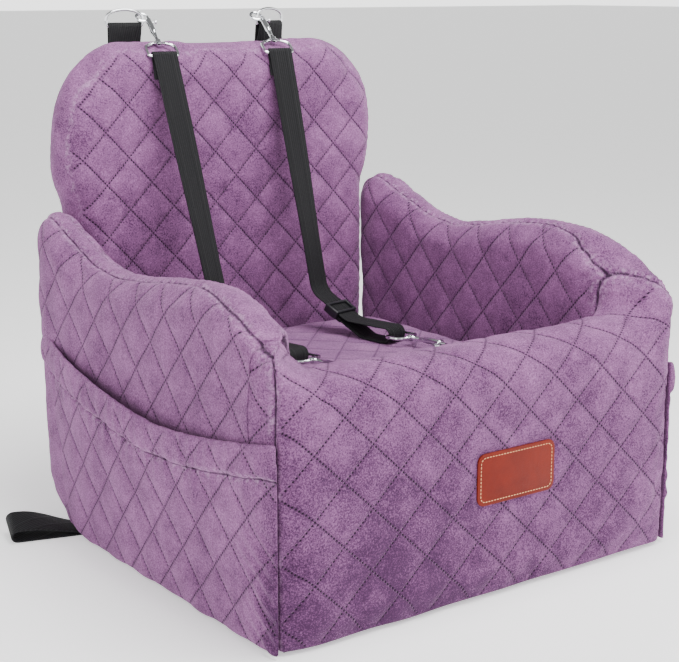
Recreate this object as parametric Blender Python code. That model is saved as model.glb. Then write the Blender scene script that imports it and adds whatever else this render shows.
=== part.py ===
"""Booster car seat for a small dog: quilted velvet covers over foam, side pockets,
two clip-on tethers and their hardware. Metres, +Z up, front towards -Y, origin on
the ground under the middle of the body."""

import math

import bmesh
import bpy
from mathutils import Matrix, Vector

# Body of the seat
BODY_WIDTH = 0.450
BODY_DEPTH = 0.462
SEAM_GAP = 0.0004
FOAM_GAP = 0.0008
OVERRUN = 0.020
BASE_CLOTH_THICKNESS = 0.003
BASE_CLOTH_MARGIN = 0.002
BASE_CLOTH_CORNER = 0.063
COVER_THICKNESS = 0.0035
CORNER_SEGMENTS = 5
ROUND_SEGMENTS = 3

# Quilting: diamonds between two families of stitch lines
FRONT_DIAMOND_WIDTH = 0.0575
FRONT_DIAMOND_HEIGHT = 0.0545
BACK_DIAMOND_WIDTH = 0.0500
BACK_DIAMOND_HEIGHT = 0.0520
SIDE_DIAMOND_WIDTH = 0.0520
SIDE_DIAMOND_HEIGHT = 0.0570
QUILT_LOFT = 0.0025
SMALLEST_DIAMOND_SHARE = 0.22
WELD_DISTANCE = 0.00002
VALLEY_ANGLE = math.radians(4)

# Front wall
FRONT_WALL_HEIGHT = 0.239
FRONT_WALL_THICKNESS = 0.060
FRONT_WALL_ROUND = 0.024
FRONT_WALL_SAG = 0.0115
FRONT_WALL_SAG_RUN = 0.045
FRONT_WALL_SAG_REACH = 0.050
FRONT_STITCH_X = -0.0183
FRONT_STITCH_Z = 0.2165

# Arms
ARM_THICKNESS = 0.045
ARM_SECTION_STEPS = 6
ARM_CREST_STEPS = 16
ARM_INNER_SECTION = 4
ARM_INNER_STEPS = 9
ARM_HUMP_HEIGHT = 0.2955
ARM_DIP_HEIGHT = 0.2800
ARM_REAR_HEIGHT = 0.3230
ARM_SIDE_LIFT = 0.005
ARM_REAR_INSET = 0.021
ARM_HUMP_DEPTH_SHARE = 0.284
ARM_DIP_DEPTH_SHARE = 0.620
ARM_REAR_PLAN_RADIUS = 0.040
ARM_REAR_LOW_RUN = 0.115
ARM_REAR_LOW_RISE = 0.100
ARM_REAR_TOP_RADIUS = 0.022
ARM_NOSE_RUN = 0.030
ARM_NOSE_SHARE = 0.12
SIDE_STITCH_Z = 0.1980

# Backrest
BACKREST_HEIGHT = 0.4750
BACKREST_THICKNESS = 0.052
BACKREST_CORNER = 0.090
BACKREST_ROUND = 0.0255
BACKREST_FLARE = 0.0104
BACKREST_FLARE_LOW = 0.308
BACKREST_FLARE_HIGH = 0.350
DENT_DEPTH = 0.006
DENT_HALF_WIDTH = 0.032
DENT_EDGE = 0.013
DENT_SETBACK = 0.008
BACK_STITCH_X = -0.0015
BACK_STITCH_Z = 0.4369

# Seat cushion on its foam block
SEAT_HEIGHT = 0.1640
CUSHION_THICKNESS = 0.050
CUSHION_ROUND = 0.016
CUSHION_CROWN = 0.005
CUSHION_DRAW_IN = 0.0015
CUSHION_LOFT = 0.0015

# Side pockets
POCKET_THICKNESS = 0.0030
POCKET_HEM_THICKNESS = 0.0050
POCKET_HEM_HEIGHT = 0.0315
POCKET_FRONT_MARGIN = 0.004
POCKET_LOW_MARGIN = 0.006
POCKET_MIDDLE_HEIGHT = 0.1610
POCKET_FRONT_RISE = 0.020
POCKET_REAR_RISE = 0.034
POCKET_BULGE = 0.0130
POCKET_WRAP_SHARE = 0.62
POCKET_LOW_POINT_SHARE = 0.36
POCKET_COLUMNS = 12
POCKET_ROWS = 6

# Leather label
LABEL_WIDTH = 0.090
LABEL_HEIGHT = 0.047
LABEL_THICKNESS = 0.0018
LABEL_CORNER = 0.008
LABEL_X = 0.024
LABEL_Z = 0.111

# Webbing
TETHER_WIDTH = 0.025
TAB_WIDTH = 0.034
WEBBING_THICKNESS = 0.0018
PLY_GAP = 0.0004
LAP_LENGTH = 0.024

# Harness: where the two tethers and their rings sit
HARNESS_CENTRE_X = -0.0102
RING_OFFSET = 0.0878
RING_WIRE = 0.00175
RING_HALF_WIDTH = 0.0190
RING_CORNER = 0.0030
RING_LEG = 0.0084
RING_ARC_HEIGHT = 0.0082
RING_TURN = math.radians(12)
TAB_STANDOUT = 0.0105
TAB_LEAN = math.radians(9.5)
TAB_SEWN_LENGTH = 0.048
RING_GRIP_HEIGHT = 0.0083
SNAP_TURN = math.radians(12.5)

# Bolt snap, measured from where its bolt crosses the loop of the hook
HOOK_RADIUS = 0.0062
HOOK_WIRE = 0.0017
HOOK_TIP_ANGLE = math.radians(30)
HOOK_ROOT_ANGLE = math.radians(292)
HOOK_ROOT_X = 0.0013
HOOK_ROOT_LENGTH = 0.0095
BARREL_RADIUS = 0.0031
BARREL_FRONT = 0.0040
BARREL_LENGTH = 0.0220
SHANK_RADIUS = 0.0023
SHANK_LENGTH = 0.0140
NECK_RADIUS = 0.0015
NECK_LENGTH = 0.0054
HEAD_RADIUS = 0.0027
HEAD_LENGTH = 0.0014
BORE_RADIUS = 0.00185
BORE_LENGTH = 0.0200
BOLT_RADIUS = 0.0015
BOLT_REACH = 0.0022
BOLT_TAIL = 0.0140
BOLT_TRAVEL = 0.0060
STUD_RADIUS = 0.0008
STUD_PLACE = 0.0080
STUD_STANDOUT = 0.0040
STUD_KNOB_RADIUS = 0.0024
STUD_KNOB_LENGTH = 0.0019
STUD_SLACK = 0.0004
SPRING_WIRE = 0.00022
SPRING_RADIUS = 0.0012
SPRING_TURNS = 3
SPRING_POINTS = 8
EYE_WIRE = 0.0016
EYE_HALF_WIDTH = 0.0155
EYE_DROP = 0.0190
EYE_CORNER = 0.0030
EYE_SHOULDER = 0.0075
EYE_HUB_RADIUS = 0.0036
EYE_HUB_LENGTH = 0.0042
SWIVEL_GAP = 0.0004
WIRE_SIDES = 8
ROUND_SIDES = 12

# Tether route in its own upright plane, from the upper eye to the seat and the lower eye
TETHER_TURN = math.radians(12)
KNEE_HEIGHT = 0.2110
KNEE_REACH = 0.065
KNEE_REACH_SPREAD = 0.010
KNEE_ROUND = 0.020
SLOPE_ANGLE = math.radians(26)
SLIDER_BELOW_KNEE = 0.0344
FOOT_ROUND = 0.030
HEEL_ROUND = 0.020
FOOT_RUN = 0.051
NOSE_RADIUS = 0.0075
STRAP_STEPS = 6

# Webbing slider
SLIDER_HALF_HEIGHT = 0.0090
SLIDER_END_BAR = 0.0030
SLIDER_BAR = 0.0022
SLIDER_MIDDLE_HALF = 0.0021
SLIDER_RAIL = 0.0026
SLIDER_SIDE_GAP = 0.0005
SLIDER_EDGE_ROUND = 0.0009
END_FOLD_LENGTH = 0.0120

# Belt loop on the ground at the rear left
BELT_WIDTH = 0.032
BELT_START_X = -0.2089
BELT_START_Y = 0.1325
BELT_REACH_X = 0.068
BELT_REACH_Y = 0.018
BELT_HALF_GAP = 0.0062
BELT_LIFT = 0.0001
BELT_ROLL = math.radians(17)
BELT_STEPS = 14
BELT_NOSE_STEPS = 8

# Zip low on the back
ZIP_HEIGHT = 0.075
ZIP_LENGTH = 0.270
ZIP_TAPE_WIDTH = 0.028
ZIP_TAPE_THICKNESS = 0.0010
ZIP_CHAIN_WIDTH = 0.0050
ZIP_CHAIN_STANDOUT = 0.0014
ZIP_SLIDER_LENGTH = 0.0110
ZIP_SLIDER_WALL = 0.0012
ZIP_SLIDER_GAP = 0.0003
ZIP_BRIDGE_HEIGHT = 0.0030
ZIP_BRIDGE_WIDTH = 0.0022
ZIP_PULL_LENGTH = 0.0240
ZIP_PULL_WIDTH = 0.0070
ZIP_PULL_THICKNESS = 0.0010

# Places worked out from the sizes above
HALF_WIDTH = BODY_WIDTH / 2
FRONT_Y = -BODY_DEPTH / 2
REAR_Y = BODY_DEPTH / 2
FLOOR_Z = BASE_CLOTH_THICKNESS + SEAM_GAP
CABIN_HALF = HALF_WIDTH - ARM_THICKNESS
CABIN_FRONT = FRONT_Y + FRONT_WALL_THICKNESS
BACKREST_FRONT = REAR_Y - BACKREST_THICKNESS
ARM_REAR_Y = REAR_Y - ARM_REAR_INSET
SEAT_LYING = SEAT_HEIGHT + CUSHION_CROWN + CUSHION_LOFT + PLY_GAP
EYE_BAR = BARREL_FRONT + BARREL_LENGTH + SHANK_LENGTH + SWIVEL_GAP + EYE_HUB_LENGTH + EYE_DROP
FOLD_RADIUS = EYE_WIRE + PLY_GAP + WEBBING_THICKNESS / 2
FOLD_TO_STRAP = 1.5 * WEBBING_THICKNESS + 2 * PLY_GAP + SLIDER_BAR / 2
X_AXIS = Vector((1, 0, 0))
Y_AXIS = Vector((0, 1, 0))
Z_AXIS = Vector((0, 0, 1))


# Scene and materials

def clear_scene():
    for old in list(bpy.data.objects):
        bpy.data.objects.remove(old, do_unlink=True)


def make_material(name, colour, roughness, metallic=0.0):
    material = bpy.data.materials.new(name)
    material.use_nodes = True
    shader = material.node_tree.nodes["Principled BSDF"]
    shader.inputs["Base Color"].default_value = (*colour, 1.0)
    shader.inputs["Roughness"].default_value = roughness
    shader.inputs["Metallic"].default_value = metallic
    return material


def stitched_edges(bm):
    """Edges that lie in the small valleys between raised diamonds."""
    return [e.index for e in bm.edges
            if len(e.link_faces) == 2 and -1 < e.calc_face_angle_signed() < -VALLEY_ANGLE]


def make_object(name, shape, material=None, smooth_angle=None):
    """Turns a bmesh or a mesh into an object in the scene."""
    mesh, valleys = shape, []
    if isinstance(shape, bmesh.types.BMesh):
        shape.edges.index_update()
        valleys = stitched_edges(shape) if material and material.name == "quilted_velvet" else []
        mesh = bpy.data.meshes.new(name)
        shape.to_mesh(mesh)
        shape.free()
    thing = bpy.data.objects.new(name, mesh)
    bpy.context.scene.collection.objects.link(thing)
    if material:
        mesh.materials.clear()
        mesh.materials.append(material)
    if smooth_angle:
        mesh.shade_smooth()
        mesh.set_sharp_from_angle(angle=smooth_angle)
    for index in valleys:
        mesh.edges[index].use_edge_sharp = True
    return thing


def as_cutter(name, shape):
    cutter = make_object(name, shape)
    cutter.hide_render = True
    cutter.display_type = "WIRE"
    return cutter


def combine(target, cutter, operation):
    change = target.modifiers.new(cutter.name, "BOOLEAN")
    change.operation = operation
    change.solver = "EXACT"
    change.object = cutter


def finished_mesh(name, target, helpers):
    """The mesh of an object after its modifiers, without the objects that made it."""
    bpy.context.view_layer.update()
    seen = target.evaluated_get(bpy.context.evaluated_depsgraph_get())
    mesh = bpy.data.meshes.new_from_object(seen)
    mesh.name = name
    for used in [target, *helpers]:
        bpy.data.objects.remove(used, do_unlink=True)
    return mesh


# Shapes

def smooth_step(share):
    share = min(max(share, 0.0), 1.0)
    return share * share * (3 - 2 * share)


def arc(centre, radius, start, end, steps):
    """Points on an arc in a plane, angles in radians, both ends included."""
    angles = [start + (end - start) * i / steps for i in range(steps + 1)]
    return [(centre[0] + radius * math.cos(a), centre[1] + radius * math.sin(a)) for a in angles]


def extrude_outline(points, low, high, place):
    """A prism: the outline of (a, b) points from low to high, placed by place(a, b, c)."""
    bm = bmesh.new()
    rings = [[bm.verts.new(place(a, b, c)) for a, b in points] for c in (low, high)]
    bm.faces.new(rings[0])
    bm.faces.new(rings[1][::-1])
    count = len(points)
    for i in range(count):
        j = (i + 1) % count
        bm.faces.new((rings[0][i], rings[1][i], rings[1][j], rings[0][j]))
    bmesh.ops.recalc_face_normals(bm, faces=bm.faces)
    return bm


def box(low, high):
    outline = [(low[0], low[1]), (high[0], low[1]), (high[0], high[1]), (low[0], high[1])]
    return extrude_outline(outline, low[2], high[2], lambda a, b, c: (a, b, c))


def round_edges(bm, wanted, radius, segments=ROUND_SEGMENTS):
    edges = [e for e in bm.edges if wanted(e)]
    bmesh.ops.bevel(
        bm, geom=edges, offset=radius, segments=segments, profile=0.5, affect="EDGES",
        clamp_overlap=True)
    bmesh.ops.remove_doubles(bm, verts=bm.verts, dist=WELD_DISTANCE)


def cut_away(bm, point, normal):
    """Removes what lies past a plane and closes the cut."""
    geometry = bm.verts[:] + bm.edges[:] + bm.faces[:]
    bmesh.ops.bisect_plane(
        bm, geom=geometry, dist=WELD_DISTANCE, plane_co=point, plane_no=normal, clear_outer=True)
    open_edges = [e for e in bm.edges if e.is_boundary]
    bmesh.ops.holes_fill(bm, edges=open_edges, sides=0)
    bmesh.ops.recalc_face_normals(bm, faces=bm.faces)


def slice_along(bm, point, normal, facing=None):
    """Adds a row of edges where a plane crosses the faces that look one way."""
    faces = [f for f in bm.faces if facing is None or abs(f.normal.dot(facing)) > math.cos(1.0)]
    slice_faces(bm, faces, point, normal)


def slice_faces(bm, faces, point, normal):
    geometry = set(faces)
    for face in faces:
        geometry.update(face.edges)
        geometry.update(face.verts)
    bmesh.ops.bisect_plane(
        bm, geom=list(geometry), dist=WELD_DISTANCE, plane_co=point, plane_no=normal)


def stitch(bm, across, origin, width, height, facing):
    """Cuts the stitch lines of diamond quilting into the faces that look along facing."""
    reach = [(v.co - origin) for v in bm.verts]
    for slant in (1, -1):
        normal = across / width + Z_AXIS * slant / height
        places = [r.dot(normal) for r in reach]
        for k in range(math.ceil(min(places)), math.floor(max(places)) + 1):
            slice_along(bm, origin + across * width * k, normal, facing)


def clear_hidden(bm, hidden):
    """Takes the stitch lines out of flat areas that other pieces cover."""
    edges = [e for e in bm.edges if len(e.link_faces) == 2 and e.calc_face_angle() < 0.01
             and all(hidden(f.calc_center_median(), f.normal) for f in e.link_faces)]
    bmesh.ops.dissolve_edges(bm, edges=edges, use_verts=True)


def split_faces(bm):
    """Triangulates a form before its points are moved off their planes."""
    bmesh.ops.triangulate(bm, faces=bm.faces, quad_method="SHORT_EDGE", ngon_method="BEAUTY")
    return bm


def puff(bm, outward, loft, diamond_area, free):
    """Raises the middle of each diamond that lies free, so the stitch lines sink between."""
    chosen = []
    for face in bm.faces:
        if face.normal.dot(outward) < math.cos(0.1):
            continue
        share = face.calc_area() / diamond_area
        if share > SMALLEST_DIAMOND_SHARE and free(face.calc_center_median()):
            chosen.append((face, min(1.0, math.sqrt(share))))
    for face, share in chosen:
        middle = bmesh.ops.poke(bm, faces=[face])["verts"][0]
        middle.co += outward * loft * share


def sweep(points, first_sides, radius, sides, closed):
    """A round tube along points; first_sides gives each ring's first direction."""
    bm = bmesh.new()
    count = len(points)
    rings = []
    for i, point in enumerate(points):
        before = points[i - 1] if closed or i else point
        after = points[(i + 1) % count] if closed or i < count - 1 else point
        along = (after - before).normalized()
        one = (first_sides[i] - along * first_sides[i].dot(along)).normalized()
        two = along.cross(one)
        turn = [2 * math.pi * k / sides for k in range(sides)]
        rings.append([bm.verts.new(point + (one * math.cos(a) + two * math.sin(a)) * radius)
                      for a in turn])
    for i in range(count if closed else count - 1):
        a, b = rings[i], rings[(i + 1) % count]
        for k in range(sides):
            m = (k + 1) % sides
            bm.faces.new((a[k], a[m], b[m], b[k]))
    if not closed:
        bm.faces.new(rings[0][::-1])
        bm.faces.new(rings[-1])
    bmesh.ops.recalc_face_normals(bm, faces=bm.faces)
    return bm


def ribbon(points, width_sides, width, thickness):
    """A flat strap along points; width_sides gives the direction of its width at each."""
    bm = bmesh.new()
    rings = []
    for i, point in enumerate(points):
        along = (points[min(i + 1, len(points) - 1)] - points[max(i - 1, 0)]).normalized()
        side = (width_sides[i] - along * width_sides[i].dot(along)).normalized()
        out = along.cross(side)
        half, thick = side * width / 2, out * thickness / 2
        corners = (point - half - thick, point + half - thick, point + half + thick,
                   point - half + thick)
        rings.append([bm.verts.new(c) for c in corners])
    for a, b in zip(rings, rings[1:]):
        for k in range(4):
            m = (k + 1) % 4
            bm.faces.new((a[k], a[m], b[m], b[k]))
    bm.faces.new(rings[0][::-1])
    bm.faces.new(rings[-1])
    bmesh.ops.recalc_face_normals(bm, faces=bm.faces)
    return bm


def turned(profile, steps=ROUND_SIDES):
    """A solid of revolution about Z from (radius, z) points that start and end on the axis."""
    bm = bmesh.new()
    verts = [bm.verts.new((r, 0, z)) for r, z in profile]
    edges = [bm.edges.new(pair) for pair in zip(verts, verts[1:])]
    bmesh.ops.spin(
        bm, geom=verts + edges, cent=(0, 0, 0), axis=(0, 0, 1), angle=2 * math.pi, steps=steps)
    bmesh.ops.remove_doubles(bm, verts=bm.verts, dist=WELD_DISTANCE)
    bmesh.ops.recalc_face_normals(bm, faces=bm.faces)
    return bm


def in_plane(x, points):
    return [Vector((x, y, z)) for y, z in points]


# Front wall

def front_wall_solid(inset, low):
    """The padded bar across the front, mitred at 45 degrees in plan where the arms meet it."""
    y0, y1 = FRONT_Y + inset, CABIN_FRONT - inset
    top = FRONT_WALL_HEIGHT - inset
    outline = [(y0, low), (y1, low), (y1, top), (y0, top)]
    bm = extrude_outline(
        outline, -HALF_WIDTH, HALF_WIDTH, lambda a, b, c: (c, a, b))
    round_edges(
        bm, lambda e: all(v.co.z > top - SEAM_GAP for v in e.verts)
        and abs(e.verts[0].co.x - e.verts[1].co.x) > HALF_WIDTH, FRONT_WALL_ROUND - inset,
        CORNER_SEGMENTS)
    for side in (1, -1):
        point, normal = mitre_plane(side, inset + SEAM_GAP / 2)
        cut_away(bm, point, -normal)
    return bm


def sag_front_wall(bm):
    """Lets the top of the front wall sink between the arms."""
    low = FRONT_WALL_HEIGHT - FRONT_WALL_SAG_REACH
    for share in (0.34, 0.67, 1):
        for side in (1, -1):
            upper = [f for f in bm.faces if f.calc_center_median().z > low]
            cut = side * (HALF_WIDTH - FRONT_WALL_SAG_RUN * share)
            slice_faces(bm, upper, X_AXIS * cut, X_AXIS)
    split_faces(bm)
    for vert in bm.verts:
        up = smooth_step((vert.co.z - low) / FRONT_WALL_SAG_REACH)
        inside = smooth_step((HALF_WIDTH - abs(vert.co.x)) / FRONT_WALL_SAG_RUN)
        vert.co.z -= FRONT_WALL_SAG * up * inside
    return bm


def mitre_plane(side, inset):
    """A point on the corner seam and the direction from the seam to the front wall's side."""
    normal = Vector((-side * FRONT_WALL_THICKNESS, -ARM_THICKNESS, 0)).normalized()
    corner = Vector((side * HALF_WIDTH, FRONT_Y, 0))
    return corner + normal * inset, normal


def build_front_wall(velvet, foam):
    bm = front_wall_solid(0, FLOOR_Z)
    origin = Vector((FRONT_STITCH_X, 0, FRONT_STITCH_Z))
    stitch(bm, X_AXIS, origin, FRONT_DIAMOND_WIDTH, FRONT_DIAMOND_HEIGHT, Y_AXIS)
    area = FRONT_DIAMOND_WIDTH * FRONT_DIAMOND_HEIGHT / 2
    puff(bm, -Y_AXIS, QUILT_LOFT, area, lambda p: True)
    puff(bm, Y_AXIS, QUILT_LOFT, area, lambda p: p.z > SEAT_HEIGHT + FRONT_DIAMOND_HEIGHT / 4)
    clear_hidden(bm, lambda p, n: n.y > 0.9 and p.z < SEAT_HEIGHT - CUSHION_THICKNESS)
    cover = make_object("front_wall_cover", sag_front_wall(bm), velvet, math.radians(40))
    hollow = sag_front_wall(front_wall_solid(COVER_THICKNESS, FLOOR_Z - OVERRUN))
    combine(cover, as_cutter("front_wall_hollow", hollow), "DIFFERENCE")
    core = sag_front_wall(front_wall_solid(COVER_THICKNESS + SEAM_GAP, FLOOR_Z))
    make_object("front_wall_foam", core, foam, math.radians(40))


# Arms

def arm_crest(y, drop, lift):
    """Height of an arm's top at a depth: a quarter ellipse up from the front, then two waves."""
    hump, dip, rear = ARM_HUMP_HEIGHT + lift, ARM_DIP_HEIGHT + lift, ARM_REAR_HEIGHT + lift
    hump_y = FRONT_Y + ARM_HUMP_DEPTH_SHARE * BODY_DEPTH
    dip_y = FRONT_Y + ARM_DIP_DEPTH_SHARE * BODY_DEPTH
    if y <= hump_y:
        share = min(1.0, (hump_y - y) / (hump_y - FRONT_Y))
        rise = math.sqrt(1 - share * share)
        return FRONT_WALL_HEIGHT + (hump - FRONT_WALL_HEIGHT) * rise - drop
    if y <= dip_y:
        share = smooth_step((y - hump_y) / (dip_y - hump_y))
        return hump + (dip - hump) * share - drop
    share = smooth_step((y - dip_y) / (ARM_REAR_Y - dip_y))
    return dip + (rear - dip) * share - drop


def arm_outline(inset, low, steps, lift):
    """Side view of an arm: points (y, z) with the direction and share of their edge rounding."""
    front, rear = FRONT_Y + inset, ARM_REAR_Y - inset
    run = rear - ARM_REAR_TOP_RADIUS - front
    stations = [front + run * i / steps for i in range(steps + 1)]
    stations[1:1] = [front + run * share for share in (0.003, 0.012, 0.027)]
    points = [(front, low, 0, 0, 0)]
    points += [(y, arm_crest(y, inset, lift), 0, -1, 1) for y in stations]
    centre = (stations[-1], points[-1][1] - ARM_REAR_TOP_RADIUS)
    corner = arc(centre, ARM_REAR_TOP_RADIUS, math.pi / 2, 0, ROUND_SEGMENTS)[1:]
    for i, (y, z) in enumerate(corner):
        inward = ((centre[0] - y) / ARM_REAR_TOP_RADIUS, (centre[1] - z) / ARM_REAR_TOP_RADIUS)
        points.append((y, z, *inward, 1 - (i + 1) / ROUND_SEGMENTS))
    start_y, start_z = ARM_REAR_Y - ARM_REAR_LOW_RUN, FLOOR_Z + ARM_REAR_LOW_RISE
    for a, b in arc((0, 0), 1, 0, -math.pi / 2, 2 * ROUND_SEGMENTS):
        y, z = start_y + (ARM_REAR_LOW_RUN - inset) * a, start_z + (ARM_REAR_LOW_RISE - inset) * b
        points.append((y, z, 0, 0, 0))
    if inset:
        points.append((start_y, low, 0, 0, 0))
    return points


def draw_round_rear(bm, side, inset):
    """Draws the outer rear corner of an arm round to the backrest, in plan."""
    radius = ARM_REAR_PLAN_RADIUS - inset
    bend_y = ARM_REAR_Y - ARM_REAR_PLAN_RADIUS
    inner = CABIN_HALF + inset
    for vert in bm.verts:
        past = min(max(vert.co.y - bend_y, 0.0), radius)
        kept = math.sqrt(radius * radius - past * past)
        width = ARM_THICKNESS - 2 * inset
        share = 1 - (radius - kept) / width
        vert.co.x = side * (inner + (abs(vert.co.x) - inner) * share)


def roll_nose_down(bm, side, inset):
    """Rolls the front end of an arm down to the top of the front wall."""
    point, normal = mitre_plane(side, -inset)
    base = FRONT_WALL_HEIGHT - inset
    for vert in bm.verts:
        if vert.co.z <= base:
            continue
        away = min(max((point - vert.co).dot(normal) / ARM_NOSE_RUN, 0.0), 1.0)
        rise = ARM_NOSE_SHARE + (1 - ARM_NOSE_SHARE) * math.sqrt(1 - (1 - away) ** 2)
        vert.co.z = base + (vert.co.z - base) * rise


def arm_solid(side, inset, low, crest_steps, section_steps):
    """An arm built up from its side view, half round across its top."""
    outline = arm_outline(inset, low, crest_steps, side * ARM_SIDE_LIFT)
    radius = ARM_THICKNESS / 2 - inset
    middle = CABIN_HALF + ARM_THICKNESS / 2
    turns = [math.pi * k / section_steps for k in range(section_steps + 1)]
    bm = bmesh.new()
    rings = []
    for turn in turns:
        drop = radius * (1 - math.sin(turn))
        x = side * (middle - radius * math.cos(turn))
        rings.append([bm.verts.new((x, y + ny * drop * share, z + nz * drop * share))
                      for y, z, ny, nz, share in outline])
    count = len(outline)
    for one, two in zip(rings, rings[1:]):
        for i in range(count):
            j = (i + 1) % count
            bm.faces.new((one[i], one[j], two[j], two[i]))
    bm.faces.new(rings[0])
    bm.faces.new(rings[-1][::-1])
    bmesh.ops.recalc_face_normals(bm, faces=bm.faces)
    point, normal = mitre_plane(side, -inset - SEAM_GAP / 2)
    cut_away(bm, point, normal)
    slice_along(bm, Z_AXIS * (FRONT_WALL_HEIGHT - inset), Z_AXIS)
    for share in (0.08, 0.25, 0.55, 1):
        slice_along(bm, point - normal * ARM_NOSE_RUN * share, normal)
    bend_y = ARM_REAR_Y - ARM_REAR_PLAN_RADIUS
    for y in [bend_y, *(p[0] for p in outline if p[0] > bend_y)]:
        slice_along(bm, Y_AXIS * y, Y_AXIS)
    return bm


def shaped_arm(side, inset, low):
    """An arm without quilting, its nose rolled down and its rear corner drawn round."""
    bm = split_faces(arm_solid(side, inset, low, ARM_INNER_STEPS, ARM_INNER_SECTION))
    roll_nose_down(bm, side, inset)
    draw_round_rear(bm, side, inset)
    return bm


def build_arm(name, side, velvet, foam):
    bm = arm_solid(side, 0, FLOOR_Z, ARM_CREST_STEPS, ARM_SECTION_STEPS)
    origin = Vector((0, CABIN_FRONT, SIDE_STITCH_Z))
    stitch(bm, Y_AXIS, origin, SIDE_DIAMOND_WIDTH, SIDE_DIAMOND_HEIGHT, X_AXIS)
    area = SIDE_DIAMOND_WIDTH * SIDE_DIAMOND_HEIGHT / 2
    margin = SIDE_DIAMOND_HEIGHT / 2

    def clear_of_pocket(p):
        return p.z > pocket_top(p.y) + margin / 2

    def clear_of_cabin_fittings(p):
        return p.z > SEAT_HEIGHT + margin and CABIN_FRONT + margin < p.y < BACKREST_FRONT - margin

    puff(bm, X_AXIS * side, QUILT_LOFT, area, clear_of_pocket)
    puff(bm, -X_AXIS * side, QUILT_LOFT, area, clear_of_cabin_fittings)
    clear_hidden(bm, lambda p, n: n.x * side < -0.9 and p.z < SEAT_HEIGHT - margin)
    clear_hidden(bm, lambda p, n: n.x * side > 0.9 and p.z < pocket_top(p.y) - margin)
    split_faces(bm)
    roll_nose_down(bm, side, 0)
    draw_round_rear(bm, side, 0)
    cover = make_object(f"{name}_arm_cover", bm, velvet, math.radians(40))
    hollow = shaped_arm(side, COVER_THICKNESS, FLOOR_Z - OVERRUN)
    combine(cover, as_cutter(f"{name}_arm_hollow", hollow), "DIFFERENCE")
    core = shaped_arm(side, COVER_THICKNESS + FOAM_GAP, FLOOR_Z)
    make_object(f"{name}_arm_foam", core, foam, math.radians(40))


# Backrest

def backrest_solid(inset, low):
    """The tall back, which swells out above the arms and has wide round top corners."""
    half = CABIN_HALF - SEAM_GAP - inset
    top = BACKREST_HEIGHT - inset
    radius = BACKREST_CORNER - inset
    flare = []
    for i in range(CORNER_SEGMENTS + 1):
        share = i / CORNER_SEGMENTS
        height = BACKREST_FLARE_LOW + (BACKREST_FLARE_HIGH - BACKREST_FLARE_LOW) * share
        flare.append((half + BACKREST_FLARE * smooth_step(share), height))
    centre = (half + BACKREST_FLARE - radius, top - radius)
    right = flare + arc(centre, radius, 0, math.pi / 2, 2 * CORNER_SEGMENTS)
    left = [(-x, z) for x, z in reversed(right)]
    outline = [(-half, low), (half, low), *right, *left]
    bm = extrude_outline(
        outline, BACKREST_FRONT + inset, REAR_Y - inset, lambda a, b, c: (a, c, b))

    def on_rim(edge):
        a, b = edge.verts
        return abs(a.co.y - b.co.y) < SEAM_GAP and max(a.co.z, b.co.z) > low + SEAM_GAP

    round_edges(bm, on_rim, BACKREST_ROUND - inset)
    return bm


def press_dents(bm):
    """Two shallow dents across the crest, where the snaps bear on it."""
    low = Z_AXIS * (BACKREST_HEIGHT - 2 * BACKREST_ROUND)
    slice_along(bm, low, Z_AXIS)
    places = [grip_point(side).x - DENT_SETBACK for side in (-1, 1)]
    for place in places:
        for share in (0, 0.5, 1):
            for sign in (-1, 1):
                upper = [f for f in bm.faces if f.calc_center_median().z > low.z]
                cut = place + sign * (DENT_HALF_WIDTH - DENT_EDGE * share)
                slice_faces(bm, upper, X_AXIS * cut, X_AXIS)
    split_faces(bm)
    for vert in bm.verts:
        up = smooth_step((vert.co.z - low.z) / (2 * BACKREST_ROUND))
        for place in places:
            inside = (DENT_HALF_WIDTH - abs(vert.co.x - place)) / DENT_EDGE
            vert.co.z -= DENT_DEPTH * up * smooth_step(inside)
    return bm


def build_backrest(velvet, foam):
    bm = backrest_solid(0, FLOOR_Z)
    origin = Vector((BACK_STITCH_X, 0, BACK_STITCH_Z))
    stitch(bm, X_AXIS, origin, BACK_DIAMOND_WIDTH, BACK_DIAMOND_HEIGHT, Y_AXIS)
    area = BACK_DIAMOND_WIDTH * BACK_DIAMOND_HEIGHT / 2
    margin = BACK_DIAMOND_HEIGHT / 2
    side_limit = CABIN_HALF - BACK_DIAMOND_WIDTH / 2

    def above_seat(p):
        return p.z > SEAT_HEIGHT + margin

    def clear_of_zip_and_tabs(p):
        beside_tab = min(abs(p.x - ring_centre(s)) for s in (1, -1)) > TAB_WIDTH
        low_enough = p.z < BACKREST_HEIGHT - TAB_SEWN_LENGTH - margin
        return p.z > ZIP_HEIGHT + ZIP_TAPE_WIDTH / 2 + margin and (beside_tab or low_enough)

    puff(bm, -Y_AXIS, QUILT_LOFT, area, above_seat)
    puff(bm, Y_AXIS, QUILT_LOFT, area,
         lambda p: clear_of_zip_and_tabs(p) and abs(p.x) < side_limit)
    clear_hidden(bm, lambda p, n: n.y < -0.9 and p.z < SEAT_HEIGHT - margin)
    cover = make_object("backrest_cover", press_dents(bm), velvet, math.radians(40))
    hollow = press_dents(backrest_solid(COVER_THICKNESS, FLOOR_Z - OVERRUN))
    combine(cover, as_cutter("backrest_hollow", hollow), "DIFFERENCE")
    core = press_dents(backrest_solid(COVER_THICKNESS + SEAM_GAP, FLOOR_Z))
    make_object("backrest_foam", core, foam, math.radians(40))


# Seat cushion, foam block and base cloth

def cushion_solid(inset, low):
    half = CABIN_HALF - SEAM_GAP - inset
    front, rear = CABIN_FRONT + SEAM_GAP + inset, BACKREST_FRONT - SEAM_GAP - inset
    top = SEAT_HEIGHT - inset
    bm = box((-half, front, low), (half, rear, top))
    round_edges(bm, lambda e: any(v.co.z > top - SEAM_GAP for v in e.verts)
                and any(v.co.z > low + SEAM_GAP for v in e.verts), CUSHION_ROUND - inset)
    return bm


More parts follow.
